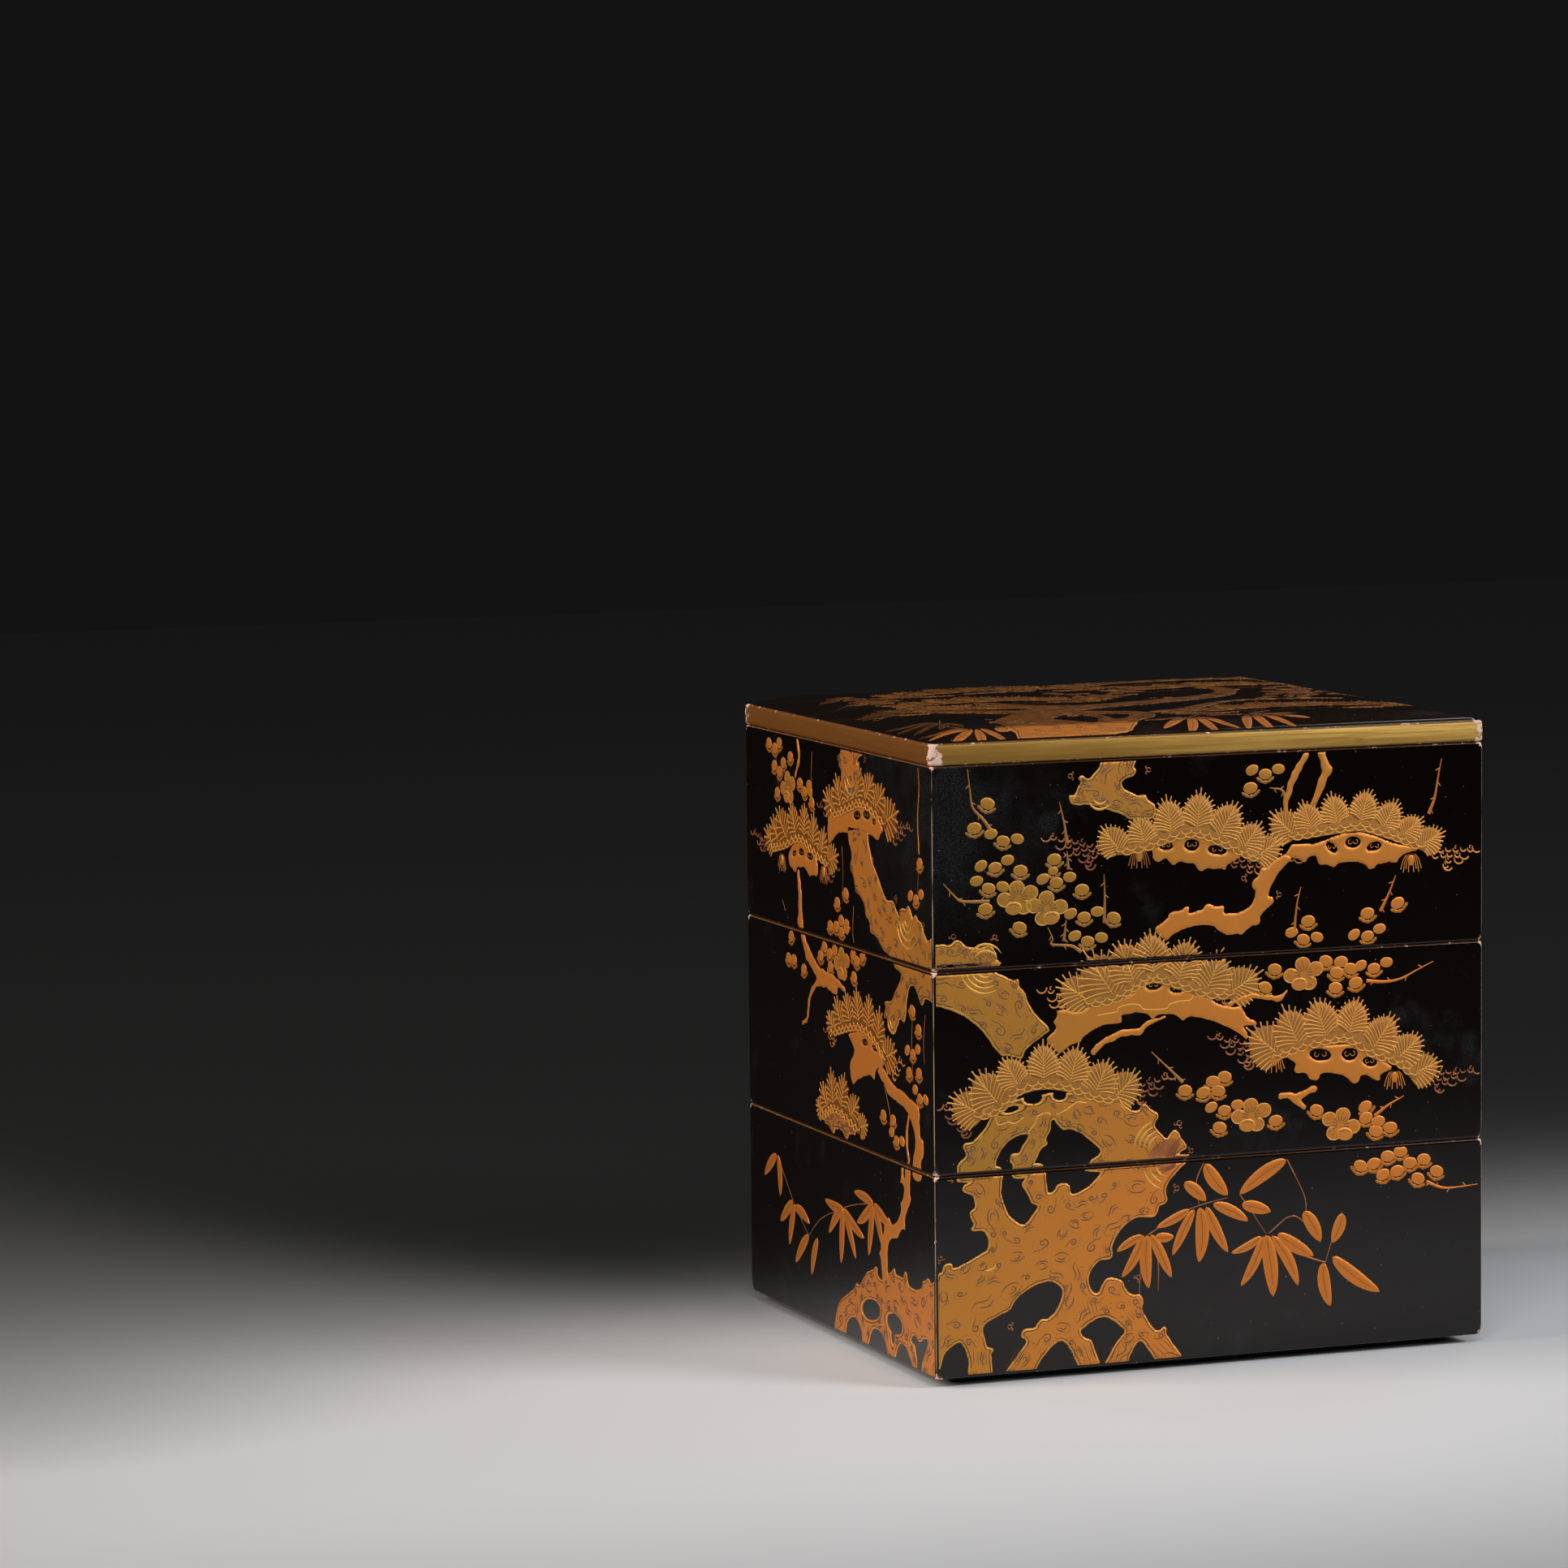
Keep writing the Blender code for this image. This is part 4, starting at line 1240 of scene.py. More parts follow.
FRONT = {
    "barks": [
        dict(outline=BASE_A,
             holes=[(-19, 197, 2.8, 1.5, -8), (-8.3, 196.8, 2.9, 2.1, 0), (2.2, 194.4, 3.6, 1.7, -8)],
             warm=0.5, plain=True),
        dict(outline=BASE_B,
             holes=[(50, 193.1, 2.6, 1.4, -35), (58.9, 194.6, 3, 2.1, 0), (68, 192.6, 3, 1.6, 12)],
             warm=0.7, plain=True),
        dict(outline=BRANCH_S, warm=0.75, plain=True),
        dict(limbs=[[(30.5, 207.5, 0.9), (31.5, 214, 1.3), (35, 222, 1.5), (39.5, 229, 1.1)],
                    [(42.5, 210.5, 1.2), (45.5, 217, 1.7), (47.5, 222.5, 1.6), (46, 228, 1.6),
                     (45.5, 232, 1.8)]], knobs=[(49.3, 222.8, 1)], warm=0.6, plain=True),
        dict(outline=STUB, warm=0.25),
        dict(limbs=[[(-117, 158, 6.5), (-105, 158.5, 5.5), (-96, 157.5, 4.5), (-91, 158.5, 3)]],
             knobs=[(-104, 163.5, 1.8), (-92, 161, 2)], warm=0.25),
        dict(outline=UPPER_LIMB, warm=0.25),
        dict(outline=BRANCH_C,
             holes=[(-35.5, 141.9, 2.8, 1.1, 12), (-24.4, 144.2, 3.1, 1.5, -3),
                    (-14.7, 142.7, 2.9, 1.8, 0)], warm=0.4, lean=0.006, plain=True),
        dict(limbs=[[(-49, 120.5, 1.2), (-46, 123, 1.2), (-41, 125.5, 1.4), (-35, 127, 1.4),
                     (-30, 127, 1.3), (-28, 129, 1), (-24, 130.8, 0.8), (-20, 131.8, 0.5)],
                    [(7, 135.3, 0.8), (12, 136.8, 1.1), (17, 137.8, 1.1), (24, 136.7, 1.1),
                     (28, 136.3, 1.1), (31, 138.8, 0.5)]], warm=0.8, plain=True),
        dict(outline=BASE_F,
             holes=[(45.1, 113.6, 4.4, 2.2, -8), (57.5, 113.1, 3.3, 2.3, 0), (65.9, 109.7, 3, 1.7, -12)],
             warm=0.85, plain=True),
        dict(outline=TRUNK_MIDDLE,
             holes=[(-74, 104.2, 3.5, 2.0, 0), (-63.2, 104.7, 2.6, 1.8, 0), (-82.6, 100.6, 2.8, 1.0, 10)],
             warm=0.3, lean=0.008),
        dict(outline=TRUNK_BOTTOM, warm=0.65, lean=0.006),
        dict(limbs=[[(28.5, 98.8, 1.2), (36, 98.5, 1), (42, 100.5, 1.5)], [(33, 98, 0.8), (38, 94, 1.2)]],
             warm=0.9, plain=True),
    ],
    "pads": [
        (0.4,
         [(-39.5, 197.7, -46, 206), (-28, 199, -31.5, 210), (-17, 202.3, -19, 216),
          (-6.4, 203.3, -4.5, 218), (3, 200, 11, 212.6), (13.3, 195, 20.8, 204.4),
          (20.3, 192, 29.6, 197.7)]),
        (0.55,
         [(32.4, 200, 24, 208), (41, 201, 37.5, 212), (52, 202.3, 49.5, 214.5), (62.3, 202.8, 65.5, 215.4),
          (71.7, 200, 78, 210.3), (80.6, 196.7, 88.7, 203), (89.5, 193, 98, 197)]),
        (0.35,
         [(-52.4, 140.8, -64, 148.6), (-41.3, 142, -53, 158.8), (-32.6, 146.2, -39.2, 162.7),
          (-24.5, 149.2, -26, 166), (-14, 146.2, -9, 162), (-2, 142, 4.6, 156.4),
          (9.4, 140.8, 20.8, 147.4)]),
        (0.35,
         [(-97.3, 100.5, -108, 107.2), (-88.3, 103.2, -98.6, 115.8), (-80, 109.6, -86.8, 121),
          (-69.6, 111.5, -69.9, 126.3), (-58.7, 109.6, -55.3, 124), (-48.3, 105.3, -42.6, 118),
          (-39.2, 103.7, -29.9, 112)]),
        (0.6,
         [(25.7, 116.2, 14, 125.8), (35.3, 118.9, 29, 133.5), (47.3, 121, 42.2, 136.2),
          (57, 121.3, 61.4, 135.6), (67.4, 115, 77, 127.8), (78.5, 110.8, 88.6, 119),
          (86, 104.5, 97, 108.3)]),
    ],
    "lichens": [(-68, 203, -38, 197, 5, THIN, 0.4), (36, 190, 4, 190.5, 3, THIN, 0.5),
                (112, 190, 90, 190, 4, GOLD, 0.8), (-70, 146, -56, 141, 4, GOLD, 0.4),
                (15, 141, -1, 140, 3, THIN, 0.5), (-112, 104, -94, 99, 5, THIN, 0.5),
                (-17, 110, -38, 105, 4, THIN, 0.5), (0, 124, 25, 117, 5, THIN, 0.5),
                (112, 104, 84, 104, 4, THIN, 0.7)],
    "twigs": [[(-99.5, 229.5), (-98.5, 221), (-97.5, 215), (-93.5, 210.5), (-90.5, 206.5)],
              [(-109.5, 187), (-104.5, 181.6), (-101.5, 180), (-91, 179.5)],
              [(-62.5, 215.5), (-60.5, 207), (-59.6, 200)], [(-59.5, 197), (-59, 190)],
              [(-44.5, 187.5), (-44.2, 178), (-44.5, 169)],
              [(-67.5, 168.5), (-65.5, 164), (-66, 162), (-58, 161), (-54, 158.5)],
              [(-60, 171), (-61, 163)], [(24, 217), (29, 216), (30.5, 213)],
              [(96.5, 225), (95, 218), (93.5, 210), (91, 204)],
              [(37, 178.5), (35.5, 173), (34.5, 165), (34.5, 161)], [(77, 181), (74, 174), (70.5, 167.5)],
              [(93, 147), (86, 144), (79, 141), (72, 140.2), (64.5, 141)],
              [(-25.5, 119), (-17, 111), (-12.5, 106.5)], [(80.5, 95.5), (74, 92.5), (68, 88.5)],
              [(112, 59), (98, 58.5), (90, 61.5)]],
    "buds": [(-91.5, 216.2), (-96.9, 207.2), (-78.4, 190.4), (-92.7, 176.7), (-78.9, 169), (-64.7, 194),
             (-53.5, 182), (-40.5, 170.7), (16, 217.3), (40, 165.3), (65, 167), (77.8, 170.3),
             (-65.2, 189.6, 2.1), (26, 147.5), (22, 140.8), (51.5, 139), (60, 140.5), (47.5, 149.5),
             (53.8, 148.9), (52, 144.8), (58, 146), (-11.5, 103.3), (-4, 102), (0, 106), (2.3, 102.3),
             (5, 107.5), (2.8, 88.2), (26.2, 89.3), (43.5, 92.3), (64, 92.3), (64.3, 88), (69.5, 86.3),
             (68.5, 82.6), (74.7, 83.6), (62, 69.5), (67.5, 70), (73.5, 72.5), (79, 74), (71.5, 65.5),
             (77.5, 66.5), (83, 69.3), (89, 70.3), (86.5, 63), (94.5, 65.3)],
    "sprays": [(-85.3, 201.9), (-88.7, 192.1), (-91.3, 184.4), (-63.9, 185.2), (-52.7, 171.6),
               (-51.3, 162.4), (22.2, 222.3), (38, 158.4), (65, 158.2), (67.7, 145.6), (4.8, 94.6)],
    "blossoms": [(-79.6, 180.1), (-67.8, 175.7, -1), (38, 145), (16, 92), (53.5, 86, -1)],
    "tassels": [(-30, 193.5), (83.5, 186.5), (25.5, 112.5), (76.5, 103)],
    "leaves": [(-29.5, 49, -40, 43.5, 2.6), (-29, 49, -38, 33.5, 3.2), (-27.5, 49, -27, 28.5, 4),
               (-26, 49, -17.5, 32, 3.4), (-24, 48, -16.5, 47.5, 3), (-10, 57.5, -23.5, 51.5, 2.8),
               (-8, 57.5, -17, 40.5, 3.2), (-5.5, 58, -6, 37, 4.5), (-3, 58, 6, 40, 3.6),
               (0, 59, 14.5, 51.5, 3.6), (-3.5, 74.5, 6, 62, 4.6), (-12, 68, -3, 60.5, 3.8),
               (30.5, 74, 11, 62, 4.4), (12, 58, 24, 54.5, 3.8), (20, 45, 7.5, 39.5, 2.6),
               (21, 45, 11.5, 26.5, 3.4), (22, 45.5, 25, 21.5, 4.8), (24.5, 45, 35.5, 25, 3.8),
               (27, 45.5, 42, 36, 4.2), (38, 53.5, 45, 41.5, 4.4), (54.5, 51.5, 50, 40.5, 4),
               (46, 33, 49, 16, 4.2), (50, 35, 70, 20, 4.4)],
    "stems": [[(-27, 49), (-14, 56), (-5, 59), (6, 61)], [(-4, 75), (-7, 68), (-6, 59)],
              [(11, 62), (16, 55), (22, 46)], [(23, 46), (34, 52), (45, 41)],
              [(54, 52), (50, 42), (47, 33)], [(47, 33), (34, 38), (23, 45)],
              [(-28, 46), (-30, 38), (-31, 25)], [(-25, 45), (-23, 38), (-23, 27)],
              [(31, 74), (38, 60), (39, 53)]],
    "waves": [[(-47.5, 134), (-44, 134.5), (-39.5, 135), (-39, 136.5), (-34.5, 137.5), (-30.5, 137),
               (-29, 135.5), (-25.5, 135), (-19.5, 135), (-18, 136.5), (-14, 137.5), (-10.5, 137.5),
               (-9, 138), (-8, 139.5)],
              [(-89.6, 98), (-88, 95), (-84.5, 95.9), (-81.5, 95.1), (-77.9, 97.3)],
              [(-76, 91.5), (-73.5, 94.4), (-72, 97.3), (-68.3, 98.4), (-66.9, 97.3)],
              [(-64.7, 97.3), (-61, 98.8), (-57.3, 101), (-55.9, 101.7), (-52.2, 101)]],
    "rings": [(-93, 155, (4, 6, 8, 10), 185, 300), (-93, 156, (5, 7.5), 30, 150),
              (-21, 81, (6, 8, 10, 12), 110, 175), (-19, 76, (5, 7.5, 10), 190, 255),
              (-46, 217, (3, 5), 200, 330), (-93, 44, (4,), 250, 330)],
    "scars": [(-20.5, 81, 7, 3.6, 25), (-18.5, 75.2, 3.8, 2, 20), (-93, 154.5, 3, 2.2, 0)],
    "grain": [(-96.5, 12, -96, 1, 4, 1.7), (-78, 9, -84, 1, 4, 1.8), (-54, 9, -51, 1, 3, 1.7),
              (-40, 9, -43, 1, 3, 1.7), (-26, 9, -18, 1, 4, 1.9), (-52, 26, -50, 19, 4, 1.5),
              (-36, 20, -31, 15, 5, 1.3)],
    "curls": [(-105.5, 167, 1.3, 60), (-89, 166, 1.2, 80), (-70, 131, 1.2, 150), (-14, 91, 1.4, 60),
              (-9, 80, 1.2, 0), (-15, 66, 1.3, 0), (-108, 76, 1.3, 180), (-112, 46, 1.2, 120),
              (28, 176, 1.2, 0), (13, 183, 1.2, 180), (-26, 226, 1.2, 0), (-58, 225, 1.2, 180),
              (-31, 33, 1.3, 40), (-84, 18, 1.2, 180)],
}

# The warmths of the left face run above the front's, so that its gold is tinted orange: painted warm light on
# that side
LEFT = {
    "relief": 0.5,
    "bold": 1.7,
    "barks": [
        dict(outline=LEFT_STUB, warm=1.1),
        dict(outline=LEFT_TRUNK, warm=1.4, lean=-0.0055),
        dict(outline=LEFT_BASE_A,
             holes=[(23.8, 205.6, 3.4, 1.6, 5), (33.9, 206.8, 3.4, 1.6, 0), (41.4, 204.8, 1.8, 1.1, 0)],
             warm=1.1, plain=True),
        dict(outline=LEFT_BASE_B,
             holes=[(-45.9, 184, 2.1, 1, 10), (-37.7, 185.3, 2.8, 1.3, 0), (-28, 184.6, 3, 1.3, 0)],
             warm=1.05, plain=True),
        dict(outline=LEFT_BASE_C, holes=[(41, 118, 2.8, 1.3, 0), (30, 118.6, 2.8, 1.2, 0)], warm=1.1,
             plain=True),
        dict(outline=LEFT_LIMB, warm=1.15, plain=True),
        dict(outline=LEFT_LOW_LIMB, warm=1.15, plain=True),
        dict(limbs=[[(-42, 231, 1.0), (-39.5, 223, 1.3), (-44, 215, 0.9)],
                    [(75, 96, 0.8), (73, 87, 1.3), (75, 79.5, 1)],
                    [(-41.5, 177, 1.3), (-40, 168, 1.9), (-39.5, 160, 2.1), (-37, 152, 2.2),
                     (-30, 145, 2.4), (-21, 140, 2.5), (-12, 137, 2.3), (-1, 134.5, 1.5)],
                    [(-15, 139.5, 1.6), (-4, 139, 1.6), (8, 136.5, 1.1)],
                    [(-16, 136.5, 1.3), (-24, 134, 1.3), (-30, 129, 1.1), (-33, 120, 1),
                     (-38, 117.5, 0.8)]], knobs=[(-41.5, 157, 1.4), (-33, 144, 1.2)], warm=1.1, plain=True),
        dict(limbs=[[(-13, 83, 2.5), (2, 84.5, 4), (17, 83, 2.5)]], knobs=[(-6, 80, 2), (9, 80, 2)],
             warm=1.0),
        dict(outline=LEFT_ROOTS,
             holes=[(34.2, 15.2, 9.5, 4, 8), (59, 14, 7.8, 3.8, 0), (56.9, 9, 1.5, 3, 0)], warm=1.15),
    ],
    "pads": [
        cushion([(-3, 206), (10, 208.5), (24, 212.5), (38, 212), (55, 206.5)],
                [(-13, 212), (1, 220), (13, 224.5), (26.5, 226.5), (42, 223), (54, 219), (68, 211.5)], 0.9,
                7),
        cushion([(-71, 186), (-57, 188.5), (-39, 193), (-22, 189), (-6, 185.5)],
                [(-80, 190.5), (-72, 197), (-63, 201.5), (-40, 206), (-26.5, 203.5), (-14, 199),
                 (3.5, 188.5)], 0.85, 8),
        cushion([(-5, 120), (9, 123.5), (23.5, 126), (39.5, 124), (53, 116)],
                [(-11, 126), (-3, 132.5), (9, 136.5), (21.5, 139), (35, 138), (46, 134.5), (64, 120)], 0.9,
                7),
        cushion([(-18, 85), (-1, 90.5), (25, 85)], [(-24, 89), (-17, 98), (0, 105.5), (20, 98), (33, 87)],
                0.85, 6),
    ],
    "lichens": [(-18, 207, -4, 205, 2, THIN, 0.5), (80, 207, 52, 205, 4, THIN, 0.5),
                (-94, 189, -72, 185, 3, THIN, 0.5), (3, 184, -14, 182, 3, THIN, 0.5),
                (-13, 119, 1, 118, 3, THIN, 0.5), (70, 117, 54, 115, 4, GOLD, 0.8)],
    "twigs": [[(87.5, 231), (88.5, 222), (87, 210), (88, 197)]],
    "buds": [(-73.5, 225.5), (-67, 224), (-62, 226.5), (-49.5, 222), (-68, 217), (-62, 215), (-57.5, 219),
             (-64.5, 206.5), (-39, 212.5), (-28.5, 212.5), (-25.5, 206), (11, 174), (1.5, 169.5),
             (-6.5, 159.5), (0, 160), (5.5, 163), (11, 162), (88.5, 193.5), (-50.5, 150.5), (-53.5, 141.5),
             (-47.5, 141.5), (-36.5, 139), (-17.5, 146.5), (-13, 150.5), (-7.5, 148.5), (-2, 150.5),
             (-6.5, 143.5), (18, 151), (22, 149), (28, 151.5), (19, 142.5), (80, 137), (86, 130.5),
             (76, 113), (86, 114), (49, 93), (59, 92.5)],
    "sprays": [(-33.5, 209.5), (6, 158.5), (84.5, 179.5), (80, 120.5), (87, 104.5), (62.5, 85)],
    "blossoms": [(-52, 209.5), (6, 146)],
    "tassels": [(-60, 180), (-13, 180)],
    "leaves": [(37, 57, 17, 58.5, 3.2), (37, 57, 20, 47, 3.8), (37, 56, 32, 36, 4.2),
               (38, 56, 46.5, 42, 4.2), (38, 57, 55, 51, 3.6), (4, 50, -15, 50.5, 3.2),
               (4, 50, -11, 38, 3.8), (4, 50, 2, 28, 4.4), (5, 50, 18, 32.5, 4), (5, 50, 27, 42, 3.6),
               (-34, 33, -49, 20, 4), (-50, 42, -33, 38, 3.6), (-24, 33.5, -31, 18, 4),
               (-52, 44, -66, 34, 3.8), (-50, 43, -56, 26, 4.2), (-70, 60, -84, 50, 3.8),
               (-68, 60, -66, 44, 4.2)],
    "stems": [[(37, 57), (20, 54), (4, 50), (-20, 42), (-34, 33)], [(-50, 43), (-42, 38), (-34, 33)],
              [(-25, 226), (-26, 216), (-25, 208)], [(7, 192), (8, 182), (7, 170)],
              [(19, 170), (18, 160), (19, 156)], [(-60, 164), (-57, 160)],
              [(93, 137), (91, 126), (92, 118)], [(80, 137), (79, 124), (80, 110)],
              [(50, 105), (55, 96), (58, 88)], [(-72, 226), (-66, 221), (-63, 208)],
              [(88, 196), (87, 188), (86, 182)], [(-69, 60), (-60, 52), (-50, 43)]],
    "rings": [(76, 171, (2.5, 5, 8, 11), 190, 330), (18, 220, (4, 7), 190, 340),
              (60, 131, (3, 5), 180, 330)],
    "curls": [(18, 186, 1.3, 180), (40, 190, 1.3, 0), (64, 178, 1.3, 60), (92, 171, 1.3, 60),
              (55, 128, 1.3, 200), (33, 228, 1.3, 0), (4, 226, 1.3, 180)],
}

LID = {
    "barks": [
        dict(limbs=[[(-60, -108, 20), (-58, -95, 19), (-60, -80, 16), (-60, -62, 11), (-48, -44, 10),
                     (-38, -30, 10), (-25, -18, 9)],
                    [(-36, -90, 8), (-24, -78, 5), (-13, -66, 5), (-10, -52, 5.5), (-24, -43, 6),
                     (-36, -38, 7)], [(-34, -82, 4), (-28, -62, 2.6), (-30, -46, 4)],
                    [(-25, -22, 8), (-5, -16, 6.5), (15, -9, 6), (35, -1, 6), (52, 9, 5.5), (62, 22, 4.6),
                     (66, 38, 4), (58, 52, 3.5)],
                    [(-45, -32, 7), (-62, -21, 5.5), (-80, -13, 4), (-95, -14, 2.5)],
                    [(-30, -15, 6), (-42, 2, 5), (-46, 14, 4)],
                    [(0, -50, 3), (13, -46, 3), (24, -36, 3.2), (42, -20, 2), (58, -17, 1.4),
                     (77, -21, 1.2), (91, -28, 0.8)],
                    [(-34, 60, 2), (-8, 64, 2.6), (20, 65, 2.6), (44, 58, 3), (58, 52, 3)]],
             knobs=[(-80, -88, 3), (-74, -66, 2.5), (-36, -52, 2.5), (8, -18, 2.2), (30, 6, 2),
                    (70, 30, 2)], cell=0.9, warm=0.95),
    ],
    "pads": [
        spread((-58, 60), (-22, 69), (12, 62), 22, 0.9, 7),
        spread((22, 73), (60, 80), (98, 73), 19, 0.9, 7),
        spread((32, 43), (68, 50), (100, 40), 19, 0.9, 7),
        spread((-72, 14), (-42, 22), (-10, 11), 22, 0.9, 7),
        spread((-95, -15), (-68, -9), (-40, -15), 19, 0.9, 7),
        spread((14, -60), (50, -53), (90, -61), 22, 0.9, 7),
    ],
    "lichens": [(-66, 56, -40, 56, 2, THIN, 0.4), (18, 58, 0, 58, 2, THIN, 0.4),
                (-80, 10, -50, 12, 3, THIN, 0.4), (2, 8, -22, 10, 3, THIN, 0.4),
                (-104, -20, -80, -18, 2, THIN, 0.4), (-30, -8, -44, -20, 2, THIN, 0.4),
                (6, -64, 30, -64, 3, THIN, 0.4), (98, -66, 70, -66, 3, THIN, 0.4),
                (108, 38, 84, 36, 2, THIN, 0.4)],
    "twigs": [[(-104, 24), (-92, 34), (-86, 50), (-88, 66)], [(-90, 30), (-78, 40), (-72, 52)],
              [(-6, 10), (2, 28), (-2, 48)], [(4, 22), (14, 30), (22, 40)], [(70, -18), (80, -2), (76, 18)],
              [(80, -4), (92, 8), (96, 26)], [(104, -24), (98, -6), (104, 12)]],
    "buds": [(-92, 60), (-82, 46), (-90, 40), (-78, 38), (-72, 44), (-94, 30), (-84, 64), (-4, 46), (8, 30),
             (0, 26), (12, 20), (6, 14), (20, 36), (84, 28), (78, 16), (98, 8), (74, 4), (96, -6), (68, -6),
             (102, -14), (78, -16), (90, 22), (106, 18), (62, -12), (-98, 50), (-70, 56)],
    "sprays": [(-88, 52), (-84, 32), (-76, 54), (2, 38), (18, 26), (-2, 16), (92, 20), (88, 2), (82, -8),
               (102, 28)],
    "blossoms": [(-84, 40), (86, 10), (8, 22)],
    "tassels": [],
    "leaves": [(-96, -58, -112, -50, 3), (-95, -60, -113, -62, 3), (-94, -62, -110, -74, 3),
               (-93, -63, -101, -78, 3), (-92, -62, -92, -78, 2.8), (-94, -84, -112, -84, 3),
               (-93, -86, -112, -94, 3), (-92, -87, -106, -103, 3), (-90, -87, -95, -104, 3),
               (-88, -86, -84, -102, 2.8), (-2, -78, -20, -84, 2.8), (-1, -80, -17, -95, 3),
               (0, -81, -9, -102, 3.2), (2, -81, 2, -103, 3), (4, -80, 13, -98, 2.8),
               (24, -80, 16, -100, 3), (26, -80, 25, -104, 3.2), (28, -80, 36, -100, 3),
               (29, -78, 46, -90, 3), (28, -76, 46, -79, 2.8), (24, -76, 10, -74, 2.6)],
    "stems": [[(-94, -86), (-97, -72), (-94, -60), (-90, -50)], [(0, -79), (8, -70), (2, -62)],
              [(26, -78), (16, -72), (2, -66)], [(40, -66), (30, -72), (26, -78)]],
    "rings": [(-60, -72, (5, 8, 11), 120, 250)],
    "curls": [(-80, -84, 1.6, 150), (-40, -84, 1.6, 20), (-72, -54, 1.6, 160), (0, -10, 1.5, 300),
              (24, 8, 1.5, 80)],
}

BACK = {
    "barks": [
        dict(limbs=[[(117, 176, 9), (98, 170, 8), (80, 172, 7), (62, 180, 5), (44, 182, 4), (28, 180, 2.5)],
                    [(80, 170, 5), (70, 160, 4), (60, 150, 3.5), (48, 146, 3), (36, 146, 2.5)]],
             knobs=[(104, 179, 2), (88, 163, 2), (52, 186, 1.8)], warm=0.5),
        dict(limbs=[[(117, 60, 10), (100, 52, 9), (86, 42, 8), (74, 26, 7), (70, 10, 6), (68, -4, 6)],
                    [(98, 46, 5), (104, 30, 5), (106, 10, 4.5), (108, -4, 4.5)]],
             knobs=[(92, 56, 2), (66, 30, 2)], warm=0.5),
    ],
    "pads": [
        spread((22, 186), (46, 192), (72, 187), 15, 0.45),
        spread((-80, 108), (-54, 114), (-28, 107), 14, 0.45),
        spread((30, 152), (46, 156), (64, 151), 14, 0.5),
    ],
    "lichens": [(20, 183, 32, 182, 2, THIN, 0.5), (-82, 105, -70, 104, 2, THIN, 0.5)],
    "twigs": [[(-60, 226), (-57, 212), (-60, 200)], [(-30, 104), (-24, 96), (-22, 88)],
              [(-60, 104), (-48, 100), (-34, 104)]],
    "buds": [(-66, 214), (-52, 206), (-62, 196), (-20, 210), (92, 200), (-18, 84), (-28, 90), (10, 130),
             (-96, 160)],
    "sprays": [(-54, 218), (-68, 202), (-14, 92), (2, 138)],
    "blossoms": [(-60, 206)],
    "tassels": [(32, 180)],
    "leaves": [(10, 50, -6, 48, 3.6), (10, 50, -2, 36, 4.2), (11, 50, 11, 30, 4.6), (12, 50, 24, 35, 4.2),
               (12, 51, 28, 46, 3.6), (-40, 44, -56, 40, 3.6), (-40, 44, -48, 28, 4.2),
               (-39, 44, -36, 24, 4.4), (-38, 44, -26, 30, 4)],
    "stems": [[(11, 50), (-14, 50), (-39, 44)]],
    "rings": [(100, 170, (3, 6), 60, 200)],
    "curls": [(94, 180, 1.3, 60), (68, 42, 1.3, 150)],
}

RIGHT = {
    "barks": [
        dict(limbs=[[(-104, 120, 9), (-88, 124, 8), (-70, 132, 6), (-54, 136, 5), (-36, 136, 3)],
                    [(-70, 132, 4), (-60, 146, 3.5), (-48, 154, 3), (-34, 158, 2.5)]],
             knobs=[(-96, 133, 2), (-80, 120, 2), (-60, 130, 1.8)], warm=0.5),
    ],
    "pads": [
        spread((-58, 141), (-38, 147), (-14, 141), 14, 0.5),
        spread((10, 196), (34, 202), (60, 196), 14, 0.45),
    ],
    "lichens": [(-13, 138, -23, 137, 2, THIN, 0.5)],
    "twigs": [[(20, 190), (30, 187), (46, 190)], [(40, 100), (36, 90), (30, 84)]],
    "buds": [(70, 186), (-60, 214), (-52, 206), (36, 98), (46, 92), (60, 150), (-20, 96)],
    "sprays": [(-64, 206), (28, 90), (76, 192)],
    "blossoms": [(40, 84)],
    "tassels": [(14, 190)],
    "leaves": [(-10, 48, -26, 45, 3.6), (-10, 48, -20, 33, 4.2), (-9, 48, -8, 28, 4.6),
               (-8, 48, 4, 33, 4.2), (-8, 49, 10, 45, 3.6), (48, 40, 36, 28, 4), (50, 40, 52, 22, 4.2),
               (51, 41, 64, 30, 4)],
    "stems": [[(-9, 48), (20, 48), (49, 40)]],
    "rings": [(-88, 124, (3, 6), 200, 330)],
    "curls": [(-76, 142, 1.3, 80)],
}


def leaf_warmth(art):
    """A little unevenness in the warmth of neighbouring motifs."""
    return art.rng.uniform(-0.1, 0.1)


